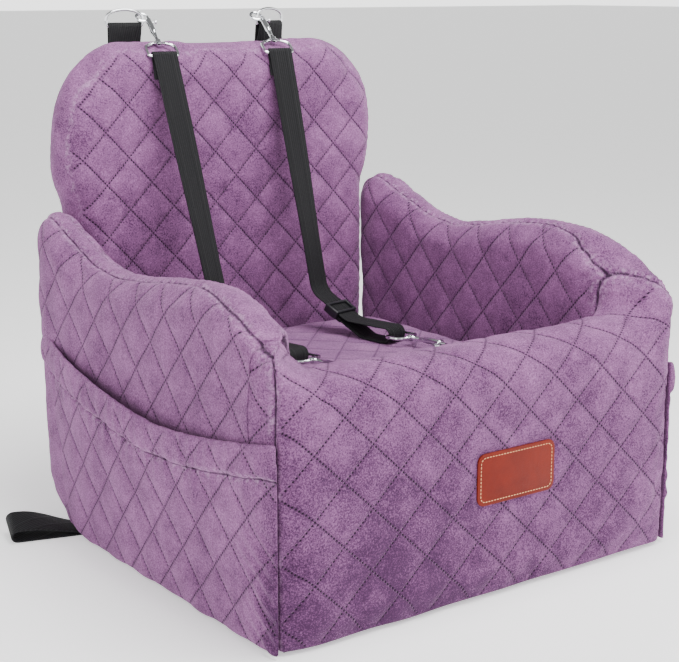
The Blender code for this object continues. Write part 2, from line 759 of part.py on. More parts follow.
def crown_cushion(bm):
    """Swells the top of the cushion and draws its sides in between the corners."""
    half = CABIN_HALF - SEAM_GAP
    middle_y = (CABIN_FRONT + BACKREST_FRONT) / 2
    half_depth = (BACKREST_FRONT - CABIN_FRONT) / 2
    floor = SEAT_HEIGHT - CUSHION_THICKNESS
    for vert in bm.verts:
        u, v = vert.co.x / half, (vert.co.y - middle_y) / half_depth
        across, along = max(0.0, 1 - u * u), max(0.0, 1 - v * v)
        up = min(max((vert.co.z - floor) / CUSHION_THICKNESS, 0.0), 1.0)
        vert.co.z += CUSHION_CROWN * across * along * up
        vert.co.x -= CUSHION_DRAW_IN * u * along
        vert.co.y -= CUSHION_DRAW_IN * v * across


def split_top(bm):
    """Rows of edges that let a plain cushion take the crown, then triangles."""
    half, half_depth = CABIN_HALF, (BACKREST_FRONT - CABIN_FRONT) / 2
    middle = Vector((0, CABIN_FRONT + half_depth, 0))
    for share in (-0.8, -0.5, 0, 0.5, 0.8):
        slice_along(bm, X_AXIS * half * share, X_AXIS)
        slice_along(bm, middle + Y_AXIS * half_depth * share, Y_AXIS)
    return split_faces(bm)


def build_seat(velvet, foam):
    low = SEAT_HEIGHT - CUSHION_THICKNESS
    bm = cushion_solid(0, low)
    middle = Vector((0, (CABIN_FRONT + BACKREST_FRONT) / 2, SEAT_HEIGHT))
    for slant in (1, -1):
        normal = X_AXIS / BACK_DIAMOND_WIDTH + Y_AXIS * slant / BACK_DIAMOND_HEIGHT
        count = math.ceil(BODY_WIDTH / BACK_DIAMOND_WIDTH)
        for k in range(-count, count + 1):
            slice_along(bm, middle + X_AXIS * BACK_DIAMOND_WIDTH * k, normal, Z_AXIS)
    area = BACK_DIAMOND_WIDTH * BACK_DIAMOND_HEIGHT / 2
    puff(bm, Z_AXIS, CUSHION_LOFT, area, lambda p: True)
    clear_hidden(bm, lambda p, n: n.z < -0.9)
    crown_cushion(split_faces(bm))
    cover = make_object("seat_cushion_cover", bm, velvet, math.radians(40))
    hollow = split_top(cushion_solid(COVER_THICKNESS, low - OVERRUN))
    crown_cushion(hollow)
    combine(cover, as_cutter("seat_cushion_hollow", hollow), "DIFFERENCE")
    core = split_top(cushion_solid(COVER_THICKNESS + SEAM_GAP, low))
    crown_cushion(core)
    make_object("seat_cushion_foam", core, foam, math.radians(40))
    half = CABIN_HALF - SEAM_GAP
    block = box((-half, CABIN_FRONT + SEAM_GAP, FLOOR_Z),
                (half, BACKREST_FRONT - SEAM_GAP, low - SEAM_GAP))
    make_object("seat_base_foam", block, foam)


def build_base_cloth(cloth):
    """Underside cloth, cut round where the rear corners lift off the ground."""
    half, front = HALF_WIDTH - BASE_CLOTH_MARGIN, FRONT_Y + BASE_CLOTH_MARGIN
    rear = REAR_Y - BASE_CLOTH_MARGIN
    corner_y = ARM_REAR_Y - ARM_REAR_LOW_RUN
    cut = half - BASE_CLOTH_CORNER
    outline = [(-half, front), (half, front), (half, corner_y), (cut, rear), (-cut, rear),
               (-half, corner_y)]
    bm = extrude_outline(outline, 0, BASE_CLOTH_THICKNESS, lambda a, b, c: (a, b, c))
    make_object("base_cloth", bm, cloth)


# Side pockets

def pocket_top(y):
    """Height of a pocket's gathered edge at a depth: lowest near the front third."""
    low_y = FRONT_Y + POCKET_LOW_POINT_SHARE * BODY_DEPTH
    if y < low_y:
        share = (low_y - y) / (low_y - FRONT_Y)
        return POCKET_MIDDLE_HEIGHT + POCKET_FRONT_RISE * share ** 1.6
    share = min(1.0, (y - low_y) / (ARM_REAR_Y - ARM_REAR_PLAN_RADIUS - low_y))
    return POCKET_MIDDLE_HEIGHT + POCKET_REAR_RISE * share ** 1.5


def pocket_station(side, travel, straight):
    """Place and outward direction on an arm's outer face, going back and round the corner."""
    if travel <= straight:
        place = Vector((side * HALF_WIDTH, FRONT_Y + POCKET_FRONT_MARGIN + travel, 0))
        return place, Vector((side, 0, 0))
    angle = (travel - straight) / ARM_REAR_PLAN_RADIUS
    out = Vector((side * math.cos(angle), math.sin(angle), 0))
    centre = Vector((side * (HALF_WIDTH - ARM_REAR_PLAN_RADIUS),
                     ARM_REAR_Y - ARM_REAR_PLAN_RADIUS, 0))
    return centre + out * ARM_REAR_PLAN_RADIUS, out


def pocket_bottom(y):
    """Lower edge of a pocket, which follows the lifted rear corner of the arm."""
    start_y = ARM_REAR_Y - ARM_REAR_LOW_RUN
    share = min(max((y - start_y) / ARM_REAR_LOW_RUN, 0.0), 1.0)
    lift = ARM_REAR_LOW_RISE * (1 - math.sqrt(1 - share * share))
    return FLOOR_Z + POCKET_LOW_MARGIN + lift


def build_pocket(name, side, velvet):
    straight = ARM_REAR_Y - ARM_REAR_PLAN_RADIUS - FRONT_Y - POCKET_FRONT_MARGIN
    wrap = POCKET_WRAP_SHARE * ARM_REAR_PLAN_RADIUS
    travels = [straight * i / POCKET_COLUMNS for i in range(POCKET_COLUMNS + 1)]
    travels += [straight + wrap * i / CORNER_SEGMENTS for i in range(1, CORNER_SEGMENTS + 1)]
    bm = bmesh.new()
    layers = ([], [])
    for travel in travels:
        share = travel / travels[-1]
        place, out = pocket_station(side, travel, straight)
        top, bottom = pocket_top(place.y), pocket_bottom(place.y)
        heights = [bottom + (top - POCKET_HEM_HEIGHT - bottom) * k / (POCKET_ROWS - 3)
                   for k in range(POCKET_ROWS - 2)]
        heights += [top - POCKET_HEM_HEIGHT * 0.9, top - POCKET_HEM_HEIGHT / 2, top]
        thick = [POCKET_THICKNESS] * (POCKET_ROWS - 2)
        thick += [POCKET_HEM_THICKNESS, POCKET_HEM_THICKNESS, POCKET_THICKNESS]
        columns = ([], [])
        for z, thickness in zip(heights, thick):
            up = (z - bottom) / (top - bottom)
            swell = math.sin(math.pi * share) ** 0.7 if 0 < share < 1 else 0.0
            stand = SEAM_GAP + POCKET_BULGE * swell * up ** 1.2
            for column, depth in zip(columns, (stand, stand + thickness)):
                column.append(bm.verts.new(place + out * depth + Z_AXIS * z))
        for layer, column in zip(layers, columns):
            layer.append(column)
    inner, outer = layers
    rows, last = len(inner[0]) - 1, len(inner) - 1
    for i in range(last):
        for k in range(rows):
            for layer in layers:
                bm.faces.new((layer[i][k], layer[i + 1][k], layer[i + 1][k + 1], layer[i][k + 1]))
        for k in (0, rows):
            bm.faces.new((inner[i][k], inner[i + 1][k], outer[i + 1][k], outer[i][k]))
    for k in range(rows):
        for i in (0, last):
            bm.faces.new((inner[i][k], inner[i][k + 1], outer[i][k + 1], outer[i][k]))
    bmesh.ops.recalc_face_normals(bm, faces=bm.faces)
    make_object(f"{name}_pocket", bm, velvet, math.radians(60))


# Leather label

def build_label(leather):
    half_w, half_h = LABEL_WIDTH / 2, LABEL_HEIGHT / 2
    outline = []
    for quarter, (sx, sz) in enumerate(((1, 1), (-1, 1), (-1, -1), (1, -1))):
        centre = (LABEL_X + sx * (half_w - LABEL_CORNER), LABEL_Z + sz * (half_h - LABEL_CORNER))
        start = quarter * math.pi / 2
        outline += arc(centre, LABEL_CORNER, start, start + math.pi / 2, CORNER_SEGMENTS)
    back = FRONT_Y - QUILT_LOFT - SEAM_GAP
    bm = extrude_outline(outline, back - LABEL_THICKNESS, back, lambda a, b, c: (a, c, b))
    make_object("leather_label", bm, leather)


# Rings and their tabs

def ring_centre(side):
    return HARNESS_CENTRE_X + side * RING_OFFSET


def ring_turn(side):
    """Each ring is turned a little about the upright, its inner leg to the front."""
    return Matrix.Rotation(side * RING_TURN, 3, "Z")


def tab_front_y():
    return REAR_Y + SEAM_GAP + WEBBING_THICKNESS / 2


def tab_bend():
    """Centre and radius of the arc on which a tab leaves the back and leans over the crest."""
    centre = Vector((0, REAR_Y - BACKREST_ROUND, BACKREST_HEIGHT - BACKREST_ROUND))
    return centre, tab_front_y() - centre.y


def ring_axis():
    """Depth and height of the middle of each ring's straight bar."""
    centre, radius = tab_bend()
    height = BACKREST_HEIGHT + TAB_STANDOUT
    fold = RING_WIRE + PLY_GAP + WEBBING_THICKNESS / 2
    rise = (height - centre.z) * math.sin(TAB_LEAN)
    return centre.y + (radius + fold - rise) / math.cos(TAB_LEAN), height


def build_tab(name, side, webbing):
    """Webbing sewn to the back of the backrest and folded over the ring's straight bar."""
    axis_y, axis_z = ring_axis()
    fold = RING_WIRE + PLY_GAP + WEBBING_THICKNESS / 2
    low = BACKREST_HEIGHT - TAB_SEWN_LENGTH
    near = tab_front_y() + WEBBING_THICKNESS + PLY_GAP
    centre, radius = tab_bend()
    lean = arc((centre.y, centre.z), radius, 0, TAB_LEAN, 2)
    front = [(tab_front_y(), low), *lean]
    rear = [(near, centre.z), (near, low)]
    turn = ring_turn(side)
    middle = Vector((ring_centre(side), axis_y, 0))
    points = [Vector((middle.x, y, z)) for y, z in front]
    sides = [X_AXIS] * len(points)
    over = [turn @ Vector((0, y, z)) for y, z in
            arc((0, axis_z), fold, math.pi + TAB_LEAN, 0, 2 * CORNER_SEGMENTS)]
    start = points[-1]
    for share in (0.25, 0.5, 0.75):
        points.append(start.lerp(middle + over[0], share))
        sides.append(X_AXIS.lerp(turn @ X_AXIS, smooth_step(share)))
    points += [middle + p for p in over]
    sides += [turn @ X_AXIS] * len(over)
    points += [Vector((middle.x, y, z)) for y, z in rear]
    sides += [X_AXIS] * len(rear)
    bm = ribbon(points, sides, TAB_WIDTH, WEBBING_THICKNESS)
    make_object(f"{name}_ring_tab", bm, webbing, math.radians(40))


def ring_outline():
    """The D of a ring as (x, z) points about the middle of its straight bar."""
    half, corner = RING_HALF_WIDTH, RING_CORNER
    bar = [(-half + corner, 0), (half - corner, 0)]
    right = arc((half - corner, corner), corner, -math.pi / 2, 0, 3)[1:]
    steps = 10
    top = []
    for i in range(steps + 1):
        angle = math.pi * i / steps
        top.append((half * math.cos(angle), RING_LEG + RING_ARC_HEIGHT * math.sin(angle)))
    left = arc((corner - half, corner), corner, math.pi, 1.5 * math.pi, 3)[:-1]
    return [*bar, *right, *top, *left]


def build_ring(name, side, steel):
    axis_y, axis_z = ring_axis()
    points = [Vector((x, 0, z)) for x, z in ring_outline()]
    bm = sweep(points, [Y_AXIS] * len(points), RING_WIRE, WIRE_SIDES, True)
    ring = make_object(f"{name}_ring", bm, steel, math.radians(50))
    ring.location = (ring_centre(side), axis_y, axis_z)
    ring.rotation_euler = ring_turn(side).to_euler()


# Bolt snaps

def hook_body_mesh(steel):
    """Hook, barrel, shank and swivel neck, bored for the bolt and slotted for its stud."""
    rear = -BARREL_FRONT - BARREL_LENGTH
    shank_end = rear - SHANK_LENGTH
    neck_end = shank_end - NECK_LENGTH
    chamfer = BARREL_RADIUS - SHANK_RADIUS
    profile = [
        (0, -BARREL_FRONT), (BARREL_RADIUS - chamfer / 2, -BARREL_FRONT),
        (BARREL_RADIUS, -BARREL_FRONT - chamfer / 2), (BARREL_RADIUS, rear + chamfer),
        (SHANK_RADIUS, rear - chamfer), (SHANK_RADIUS, shank_end + chamfer / 2),
        (EYE_HUB_RADIUS * 0.8, shank_end), (NECK_RADIUS, shank_end), (NECK_RADIUS, neck_end),
        (HEAD_RADIUS, neck_end), (HEAD_RADIUS, neck_end - HEAD_LENGTH * 0.6),
        (HEAD_RADIUS * 0.6, neck_end - HEAD_LENGTH), (0, neck_end - HEAD_LENGTH)]
    body = make_object("hook_body", turned(profile))
    steps = 14
    span = HOOK_ROOT_ANGLE - HOOK_TIP_ANGLE
    angles = [HOOK_ROOT_ANGLE - span * i / steps for i in range(steps + 1)]
    loop = [Vector((HOOK_RADIUS * (math.cos(a) - 1), 0, HOOK_RADIUS * math.sin(a)))
            for a in angles]
    root = Vector((-HOOK_ROOT_X, 0, -HOOK_ROOT_LENGTH))
    points = [root, (root + loop[0]) / 2 + Vector((HOOK_ROOT_X / 4, 0, 0)), *loop]
    hook = sweep(points, [Y_AXIS] * len(points), HOOK_WIRE, WIRE_SIDES, False)
    hook = as_cutter("hook_loop", hook)
    combine(body, hook, "UNION")
    bore_end = -BARREL_FRONT - BORE_LENGTH
    bore = as_cutter("bolt_bore", turned([
        (0, BOLT_REACH - HOOK_WIRE), (BORE_RADIUS, BOLT_REACH - HOOK_WIRE),
        (BORE_RADIUS, bore_end), (0, bore_end)], 12))
    combine(body, bore, "DIFFERENCE")
    half = STUD_RADIUS + STUD_SLACK
    slot = as_cutter("stud_slot", box(
        (BORE_RADIUS * 0.7, -half, -STUD_PLACE - BOLT_TRAVEL - half),
        (BARREL_RADIUS * 1.5, half, -STUD_PLACE + half)))
    combine(body, slot, "DIFFERENCE")
    mesh = finished_mesh("hook_body", body, [hook, bore, slot])
    return dress(mesh, steel)


def dress(mesh, material):
    mesh.materials.clear()
    mesh.materials.append(material)
    mesh.shade_smooth()
    mesh.set_sharp_from_angle(angle=math.radians(50))
    return mesh


def bolt_mesh(steel):
    """Sliding bolt with the stud that a thumb pulls back."""
    bevel = BOLT_RADIUS / 4
    pin = make_object("bolt", turned([
        (0, BOLT_REACH), (BOLT_RADIUS - bevel, BOLT_REACH), (BOLT_RADIUS, BOLT_REACH - bevel),
        (BOLT_RADIUS, -BOLT_TAIL), (0, -BOLT_TAIL)], 12))
    top = BARREL_RADIUS + STUD_STANDOUT
    stud = turned([
        (0, 0), (STUD_RADIUS, 0), (STUD_RADIUS, top - STUD_KNOB_LENGTH),
        (STUD_KNOB_RADIUS, top - STUD_KNOB_LENGTH), (STUD_KNOB_RADIUS, top - STUD_RADIUS / 2),
        (STUD_KNOB_RADIUS / 2, top), (0, top)], 10)
    turn = Matrix.Translation((0, 0, -STUD_PLACE)) @ Matrix.Rotation(math.pi / 2, 4, "Y")
    bmesh.ops.transform(stud, matrix=turn, verts=stud.verts)
    stud = as_cutter("stud", stud)
    combine(pin, stud, "UNION")
    return dress(finished_mesh("thumb_bolt", pin, [stud]), steel)


def spring_mesh(steel):
    """Coil that pushes the bolt shut, between the bolt's tail and the end of the bore."""
    start = -BOLT_TAIL - SEAM_GAP - SPRING_WIRE
    end = -BARREL_FRONT - BORE_LENGTH + SEAM_GAP + SPRING_WIRE
    count = SPRING_TURNS * SPRING_POINTS
    points, sides = [], []
    for i in range(count + 1):
        angle = 2 * math.pi * i / SPRING_POINTS
        out = Vector((math.cos(angle), math.sin(angle), 0))
        points.append(out * SPRING_RADIUS + Z_AXIS * (start + (end - start) * i / count))
        sides.append(out)
    between_turns = [(p - q).length for i, p in enumerate(points)
                     for q in points[i + SPRING_POINTS // 2:]]
    print("least gap between turns of a bolt spring:", min(between_turns) - 2 * SPRING_WIRE)
    bm = sweep(points, sides, SPRING_WIRE, 6, False)
    mesh = bpy.data.meshes.new("bolt_spring")
    bm.to_mesh(mesh)
    bm.free()
    return dress(mesh, steel)


def eye_mesh(steel):
    """Swivel eye: a hub on the neck, sloped shoulders and the bar that the webbing folds round."""
    hub_top = -BARREL_FRONT - BARREL_LENGTH - SHANK_LENGTH - SWIVEL_GAP
    hub_low = hub_top - EYE_HUB_LENGTH
    bar = -EYE_BAR
    shoulder = hub_low - EYE_SHOULDER * 0.55
    middle = (hub_top + hub_low) / 2
    bore = NECK_RADIUS + SWIVEL_GAP
    start_x = (EYE_HUB_RADIUS + bore) / 2
    half = EYE_HALF_WIDTH
    right = [(start_x, middle), (half * 0.5, middle - EYE_SHOULDER * 0.20),
             (half * 0.8, middle - EYE_SHOULDER * 0.55), (half * 0.96, shoulder),
             (half, shoulder - EYE_SHOULDER * 0.45)]
    right += arc((half - EYE_CORNER, bar + EYE_CORNER), EYE_CORNER, 0, -math.pi / 2, 3)
    left = [(-x, z) for x, z in reversed(right)]
    points = [Vector((x, 0, z)) for x, z in right + left]
    wire = sweep(points, [Y_AXIS] * len(points), EYE_WIRE, WIRE_SIDES, False)
    wire = as_cutter("eye_wire", wire)
    hub = make_object("eye_hub", turned(
        [(0, hub_top), (EYE_HUB_RADIUS, hub_top), (EYE_HUB_RADIUS, hub_low), (0, hub_low)]))
    combine(hub, wire, "UNION")
    hole = as_cutter("eye_hole", turned([
        (0, hub_top + OVERRUN), (bore, hub_top + OVERRUN), (bore, hub_low - SWIVEL_GAP * 3),
        (0, hub_low - SWIVEL_GAP * 3)], 12))
    combine(hub, hole, "DIFFERENCE")
    return dress(finished_mesh("swivel_eye", hub, [wire, hole]), steel)


def frame_matrix(origin, forward, side):
    """Axes of a snap: Z towards its hook, X away from the loop of the hook."""
    forward = forward.normalized()
    up = forward.cross(side).normalized()
    turn = Matrix((side, up, forward)).transposed().to_4x4()
    return Matrix.Translation(origin) @ turn


def place_snap(prefix, matrix, meshes):
    """One snap of four pieces; the bolt and its spring ride on the hook body."""
    body = make_object(f"{prefix}_hook_body", meshes["body"])
    body.matrix_world = matrix
    eye = make_object(f"{prefix}_swivel_eye", meshes["eye"])
    eye.matrix_world = matrix
    for part, mesh in (("thumb_bolt", meshes["bolt"]), ("bolt_spring", meshes["spring"])):
        piece = make_object(f"{prefix}_{part}", mesh)
        piece.parent = body


# Tether route

def grip_point(side):
    """Where an upper snap's bolt crosses its hook, beside the inner leg of its ring."""
    axis_y, axis_z = ring_axis()
    leg = ring_turn(side) @ Vector((-side * RING_HALF_WIDTH, 0, 0))
    return Vector((ring_centre(side) + leg.x + HOOK_RADIUS, axis_y + leg.y,
                   axis_z + RING_GRIP_HEIGHT))


def upper_snap_line(side):
    """Direction from the upper eye to the hook over the dented crest, and along the eye's bar."""
    grip = grip_point(side)
    clear = BACKREST_ROUND + BARREL_RADIUS + SEAM_GAP
    centre_z = BACKREST_HEIGHT - BACKREST_ROUND - DENT_DEPTH
    slopes = []
    for centre_y in (REAR_Y - BACKREST_ROUND, BACKREST_FRONT + BACKREST_ROUND):
        dy, dz = grip.y - centre_y, grip.z - centre_z
        slopes.append(math.atan2(dz, dy) - math.asin(clear / math.hypot(dy, dz)))
    pitch = math.atan(math.tan(min(slopes)) * math.cos(SNAP_TURN))
    level = Vector((math.sin(SNAP_TURN), math.cos(SNAP_TURN), 0))
    across = Vector((math.cos(SNAP_TURN), -math.sin(SNAP_TURN), 0))
    return level * math.cos(pitch) + Z_AXIS * math.sin(pitch), across


def eye_bar(side):
    """Middle of the upper eye's bar, round which the strap is folded."""
    return grip_point(side) - upper_snap_line(side)[0] * EYE_BAR


def tether_heading():
    """Direction in plan in which a strap runs to the front, and along its width at the foot."""
    heading = Vector((math.sin(TETHER_TURN), -math.cos(TETHER_TURN), 0))
    return heading, Z_AXIS.cross(heading)


def in_tether_plane(side, reach, height):
    """Point in the upright plane of a strap, at a distance in plan from the upper eye's bar."""
    bar = eye_bar(side)
    return Vector((bar.x, bar.y, height)) + tether_heading()[0] * reach


def knee(side):
    """Corner where a strap's long upright run meets the slope down to the seat."""
    return KNEE_REACH - side * KNEE_REACH_SPREAD, KNEE_HEIGHT


def on_slope(side, travel, below=0.0):
    """Point on the slope at a distance down from the knee and a depth under the strap."""
    reach, height = knee(side)
    along, down = math.cos(SLOPE_ANGLE), math.sin(SLOPE_ANGLE)
    return reach + along * travel - down * below, height - down * travel - along * below


def slider_frame(side):
    """Axes of a slider: X along the webbing's width, Y away from its face, Z up the strap."""
    heading, width_side = tether_heading()
    up = Z_AXIS * math.sin(SLOPE_ANGLE) - heading * math.cos(SLOPE_ANGLE)
    out = Z_AXIS * math.cos(SLOPE_ANGLE) + heading * math.sin(SLOPE_ANGLE)
    place = in_tether_plane(side, *on_slope(side, SLIDER_BELOW_KNEE))
    turn = Matrix((width_side, -out, up)).transposed().to_4x4()
    return Matrix.Translation(place) @ turn, place, up


def rounded_corner(before, corner, after, radius):
    """Points of the arc that rounds the corner between two straight runs."""
    before, corner, after = Vector(before), Vector(corner), Vector(after)
    one, two = (corner - before).normalized(), (after - corner).normalized()
    turn = one.angle_signed(two)
    start = corner - one * radius * math.tan(abs(turn) / 2)
    inward = math.copysign(1, -turn)
    normal = Vector((-one.y, one.x)) * inward
    centre = start + normal * radius
    first = math.atan2(-normal.y, -normal.x)
    return arc(centre, radius, first, first - turn, STRAP_STEPS)


def foot_heights():
    low = SEAT_LYING + WEBBING_THICKNESS / 2
    return low, low + 2 * NOSE_RADIUS


def nose_centre(side):
    """Distance in plan and height of the middle of the bend that holds the lower eye."""
    low, high = foot_heights()
    reach, height = knee(side)
    return reach + (height - high) / math.tan(SLOPE_ANGLE) + FOOT_RUN, low + NOSE_RADIUS


def lower_route(side):
    """The strap in its plane from the knee round the lower eye and back under the slider."""
    low, high = foot_heights()
    reach, height = knee(side)
    foot = (reach + (height - high) / math.tan(SLOPE_ANGLE), high)
    under_x, under_z = on_slope(side, 0, FOLD_TO_STRAP)
    heel = (under_x + (under_z - low) / math.tan(SLOPE_ANGLE), low)
    nose = nose_centre(side)
    stop = SLIDER_BELOW_KNEE + SLIDER_MIDDLE_HALF + END_FOLD_LENGTH + SEAM_GAP
    end = on_slope(side, stop, FOLD_TO_STRAP)
    start = (FOLD_RADIUS, eye_bar(side).z)
    top, bottom = (nose[0], high), (nose[0], low)
    return [*rounded_corner(start, knee(side), foot, KNEE_ROUND),
            *rounded_corner(knee(side), foot, top, FOOT_ROUND),
            *arc(nose, NOSE_RADIUS, math.pi / 2, -math.pi / 2, 2 * CORNER_SEGMENTS),
            *rounded_corner(bottom, heel, end, HEEL_ROUND), end]


def tether_route(side):
    """Points along the whole strap, from its sewn lap to its other end, and its width sides."""
    bar, (_, across) = eye_bar(side), upper_snap_line(side)
    _, width_side = tether_heading()
    foot = [in_tether_plane(side, a, b) for a, b in lower_route(side)]
    up = bar - foot[0]
    up = (up - across * up.dot(across)).normalized()
    front = across.cross(up)
    lap_out = front * (FOLD_RADIUS - WEBBING_THICKNESS - PLY_GAP)
    points = [bar - up * LAP_LENGTH + lap_out, bar - up * LAP_LENGTH / 2 + lap_out]
    for a, b in arc((0, 0), FOLD_RADIUS, math.pi, 0, 2 * CORNER_SEGMENTS):
        points.append(bar + front * a + up * b)
    points.append(bar - up * LAP_LENGTH + front * FOLD_RADIUS)
    sides = [across] * len(points)
    last = points[-1]
    for i in range(1, STRAP_STEPS):
        share = i / STRAP_STEPS
        points.append(last.lerp(foot[0], share))
        sides.append(across.lerp(width_side, smooth_step(share)))
    return points + foot, sides + [width_side] * len(foot)


def build_tether(name, side, webbing):
    points, sides = tether_route(side)
    bm = ribbon(points, sides, TETHER_WIDTH, WEBBING_THICKNESS)
    make_object(f"{name}_tether_webbing", bm, webbing, math.radians(40))


def build_slider(name, side, plastic, webbing):
    """Three-bar slider: end bars over the strap, middle bar under it in the sewn fold."""
    matrix, _, _ = slider_frame(side)
    inner = TETHER_WIDTH / 2 + SLIDER_SIDE_GAP
    outer = inner + SLIDER_RAIL
    front = WEBBING_THICKNESS / 2 + PLY_GAP
    middle = -FOLD_TO_STRAP
    back, top = middle - SLIDER_BAR / 2, front + SLIDER_BAR
    block = box((-outer, -top, -SLIDER_HALF_HEIGHT), (outer, -back, SLIDER_HALF_HEIGHT))
    round_edges(block, lambda e: True, SLIDER_EDGE_ROUND, 2)
    slider = make_object(f"{name}_slider", block, plastic, math.radians(40))
    window = SLIDER_HALF_HEIGHT - SLIDER_END_BAR
    cuts = {
        "channel": ((-inner, -front, -OVERRUN), (inner, -middle - SLIDER_BAR / 2, OVERRUN)),
        "window": ((-inner, -OVERRUN, -window), (inner, -middle - SLIDER_BAR, window)),
        "low": ((-inner, 0, -OVERRUN), (inner, OVERRUN, -SLIDER_MIDDLE_HALF)),
        "high": ((-inner, 0, SLIDER_MIDDLE_HALF), (inner, OVERRUN, OVERRUN))}
    for cut, (low, high) in cuts.items():
        cutter = as_cutter(f"{name}_slider_{cut}", box(low, high))
        cutter.matrix_world = matrix
        combine(slider, cutter, "DIFFERENCE")
    slider.matrix_world = matrix
    build_end_fold(name, slider, middle, webbing)


def build_end_fold(name, slider, middle, webbing):
    """The sewn end of the strap, folded round the slider's middle bar."""
    fold = SLIDER_BAR / 2 + PLY_GAP + WEBBING_THICKNESS / 2
    close = WEBBING_THICKNESS / 2 + PLY_GAP / 2
    low = -SLIDER_MIDDLE_HALF - END_FOLD_LENGTH
    start = -SLIDER_MIDDLE_HALF - END_FOLD_LENGTH / 2
    over = arc((0, SLIDER_MIDDLE_HALF), fold, math.pi, 0, 2 * CORNER_SEGMENTS)
    route = [(-close, low), (-close, start), (-fold, -SLIDER_MIDDLE_HALF), *over,
             (fold, -SLIDER_MIDDLE_HALF), (close, start), (close, low)]
    points = in_plane(0, [(y - middle, z) for y, z in route])
    bm = ribbon(points, [X_AXIS] * len(points), TETHER_WIDTH, WEBBING_THICKNESS)
    piece = make_object(f"{name}_tether_end_fold", bm, webbing, math.radians(40))
    piece.parent = slider


def lower_eye_bar(side):
    """Middle of the lower eye's bar, inside the nose of the strap."""
    reach, height = nose_centre(side)
    slack = NOSE_RADIUS - WEBBING_THICKNESS / 2 - PLY_GAP - EYE_WIRE
    return in_tether_plane(side, reach + slack, height)


def build_snaps(name, side, meshes):
    forward, across = upper_snap_line(side)
    place_snap(f"{name}_upper", frame_matrix(grip_point(side), forward, across), meshes)
    heading, width_side = tether_heading()
    origin = lower_eye_bar(side) + heading * EYE_BAR
    place_snap(f"{name}_lower", frame_matrix(origin, heading, width_side), meshes)


# Belt loop

def build_belt_loop(webbing):
    """Loop that lies on the ground from under the rear left corner, open at its near edge."""
    start = Vector((BELT_START_X, BELT_START_Y, 0))
    reach = Vector((-BELT_REACH_X, BELT_REACH_Y, 0))
    along = reach.normalized()
    beside = Z_AXIS.cross(along) * -1
    thin, half_width = WEBBING_THICKNESS / 2, BELT_WIDTH / 2

    def station(share):
        turn = BELT_ROLL * smooth_step(share)
        width_side = beside * math.cos(turn) + Z_AXIS * math.sin(turn)
        normal = Z_AXIS * math.cos(turn) - beside * math.sin(turn)
        opening = thin + PLY_GAP / 2 + (BELT_HALF_GAP - thin) * smooth_step(share * 1.1)
        near_edge = BELT_LIFT + thin * math.cos(turn)
        height = Z_AXIS * (near_edge + half_width * math.sin(turn))
        return start + reach * share + height + normal * opening, width_side, normal * opening

    lower, upper = [], []
    for i in range(BELT_STEPS + 1):
        middle, width_side, offset = station(i / BELT_STEPS)
        lower.append((middle - offset, width_side))
        upper.append((middle + offset, width_side))
    middle, width_side, offset = station(1.0)
    nose = []
    for i in range(1, BELT_NOSE_STEPS):
        angle = math.pi * i / BELT_NOSE_STEPS
        forward = along * offset.length * math.sin(angle)
        nose.append((middle - offset * math.cos(angle) + forward, width_side))
    route = lower + nose + upper[::-1]
    bm = ribbon([p for p, _ in route], [w for _, w in route], BELT_WIDTH, WEBBING_THICKNESS)
    make_object("belt_loop", bm, webbing, math.radians(40))


# Zip

def build_zip(webbing, steel):
    """Zip across the back: tape with a toothed chain, its slider and the slider's pull."""
    half, low = ZIP_LENGTH / 2, ZIP_HEIGHT - ZIP_TAPE_WIDTH / 2
    face = REAR_Y + SEAM_GAP
    skin = face + ZIP_TAPE_THICKNESS
    chain = skin + ZIP_CHAIN_STANDOUT
    c0, c1 = ZIP_HEIGHT - ZIP_CHAIN_WIDTH / 2, ZIP_HEIGHT + ZIP_CHAIN_WIDTH / 2
    outline = [(face, low), (skin, low), (skin, c0), (chain, c0), (chain, c1), (skin, c1),
               (skin, low + ZIP_TAPE_WIDTH), (face, low + ZIP_TAPE_WIDTH)]
    bm = extrude_outline(outline, -half, half, lambda a, b, c: (c, a, b))
    make_object("zip_tape", bm, webbing)
    rest = -half + ZIP_SLIDER_LENGTH
    gap, wall = ZIP_SLIDER_GAP, ZIP_SLIDER_WALL
    s0, s1 = c0 - ZIP_HEIGHT - gap, c1 - ZIP_HEIGHT + gap
    base, roof = skin + gap, chain + gap
    outline = [(base, s0 - wall), (roof + wall, s0 - wall), (roof + wall, s1 + wall),
               (base, s1 + wall), (base, s1), (roof, s1), (roof, s0), (base, s0)]
    length = ZIP_SLIDER_LENGTH / 2
    shell = extrude_outline(outline, -length, length, lambda a, b, c: (c, a - skin, b))
    slider = make_object("zip_slider", shell, steel)
    slider.location = (rest, skin, ZIP_HEIGHT)
    top = roof + wall - skin
    arch = ZIP_BRIDGE_HEIGHT
    bridge = [(-length * 0.8, top - wall / 2), (-length * 0.8, top + arch),
              (length * 0.8, top + arch), (length * 0.8, top - wall / 2),
              (length * 0.5, top - wall / 2), (length * 0.5, top + arch - wall),
              (-length * 0.5, top + arch - wall), (-length * 0.5, top - wall / 2)]
    arm = extrude_outline(bridge, -ZIP_BRIDGE_WIDTH / 2, ZIP_BRIDGE_WIDTH / 2,
                          lambda a, b, c: (a, b, c))
    arm = as_cutter("zip_bridge", arm)
    arm.location = slider.location
    combine(slider, arm, "UNION")
    build_zip_pull(slider, top, arch, length, steel)


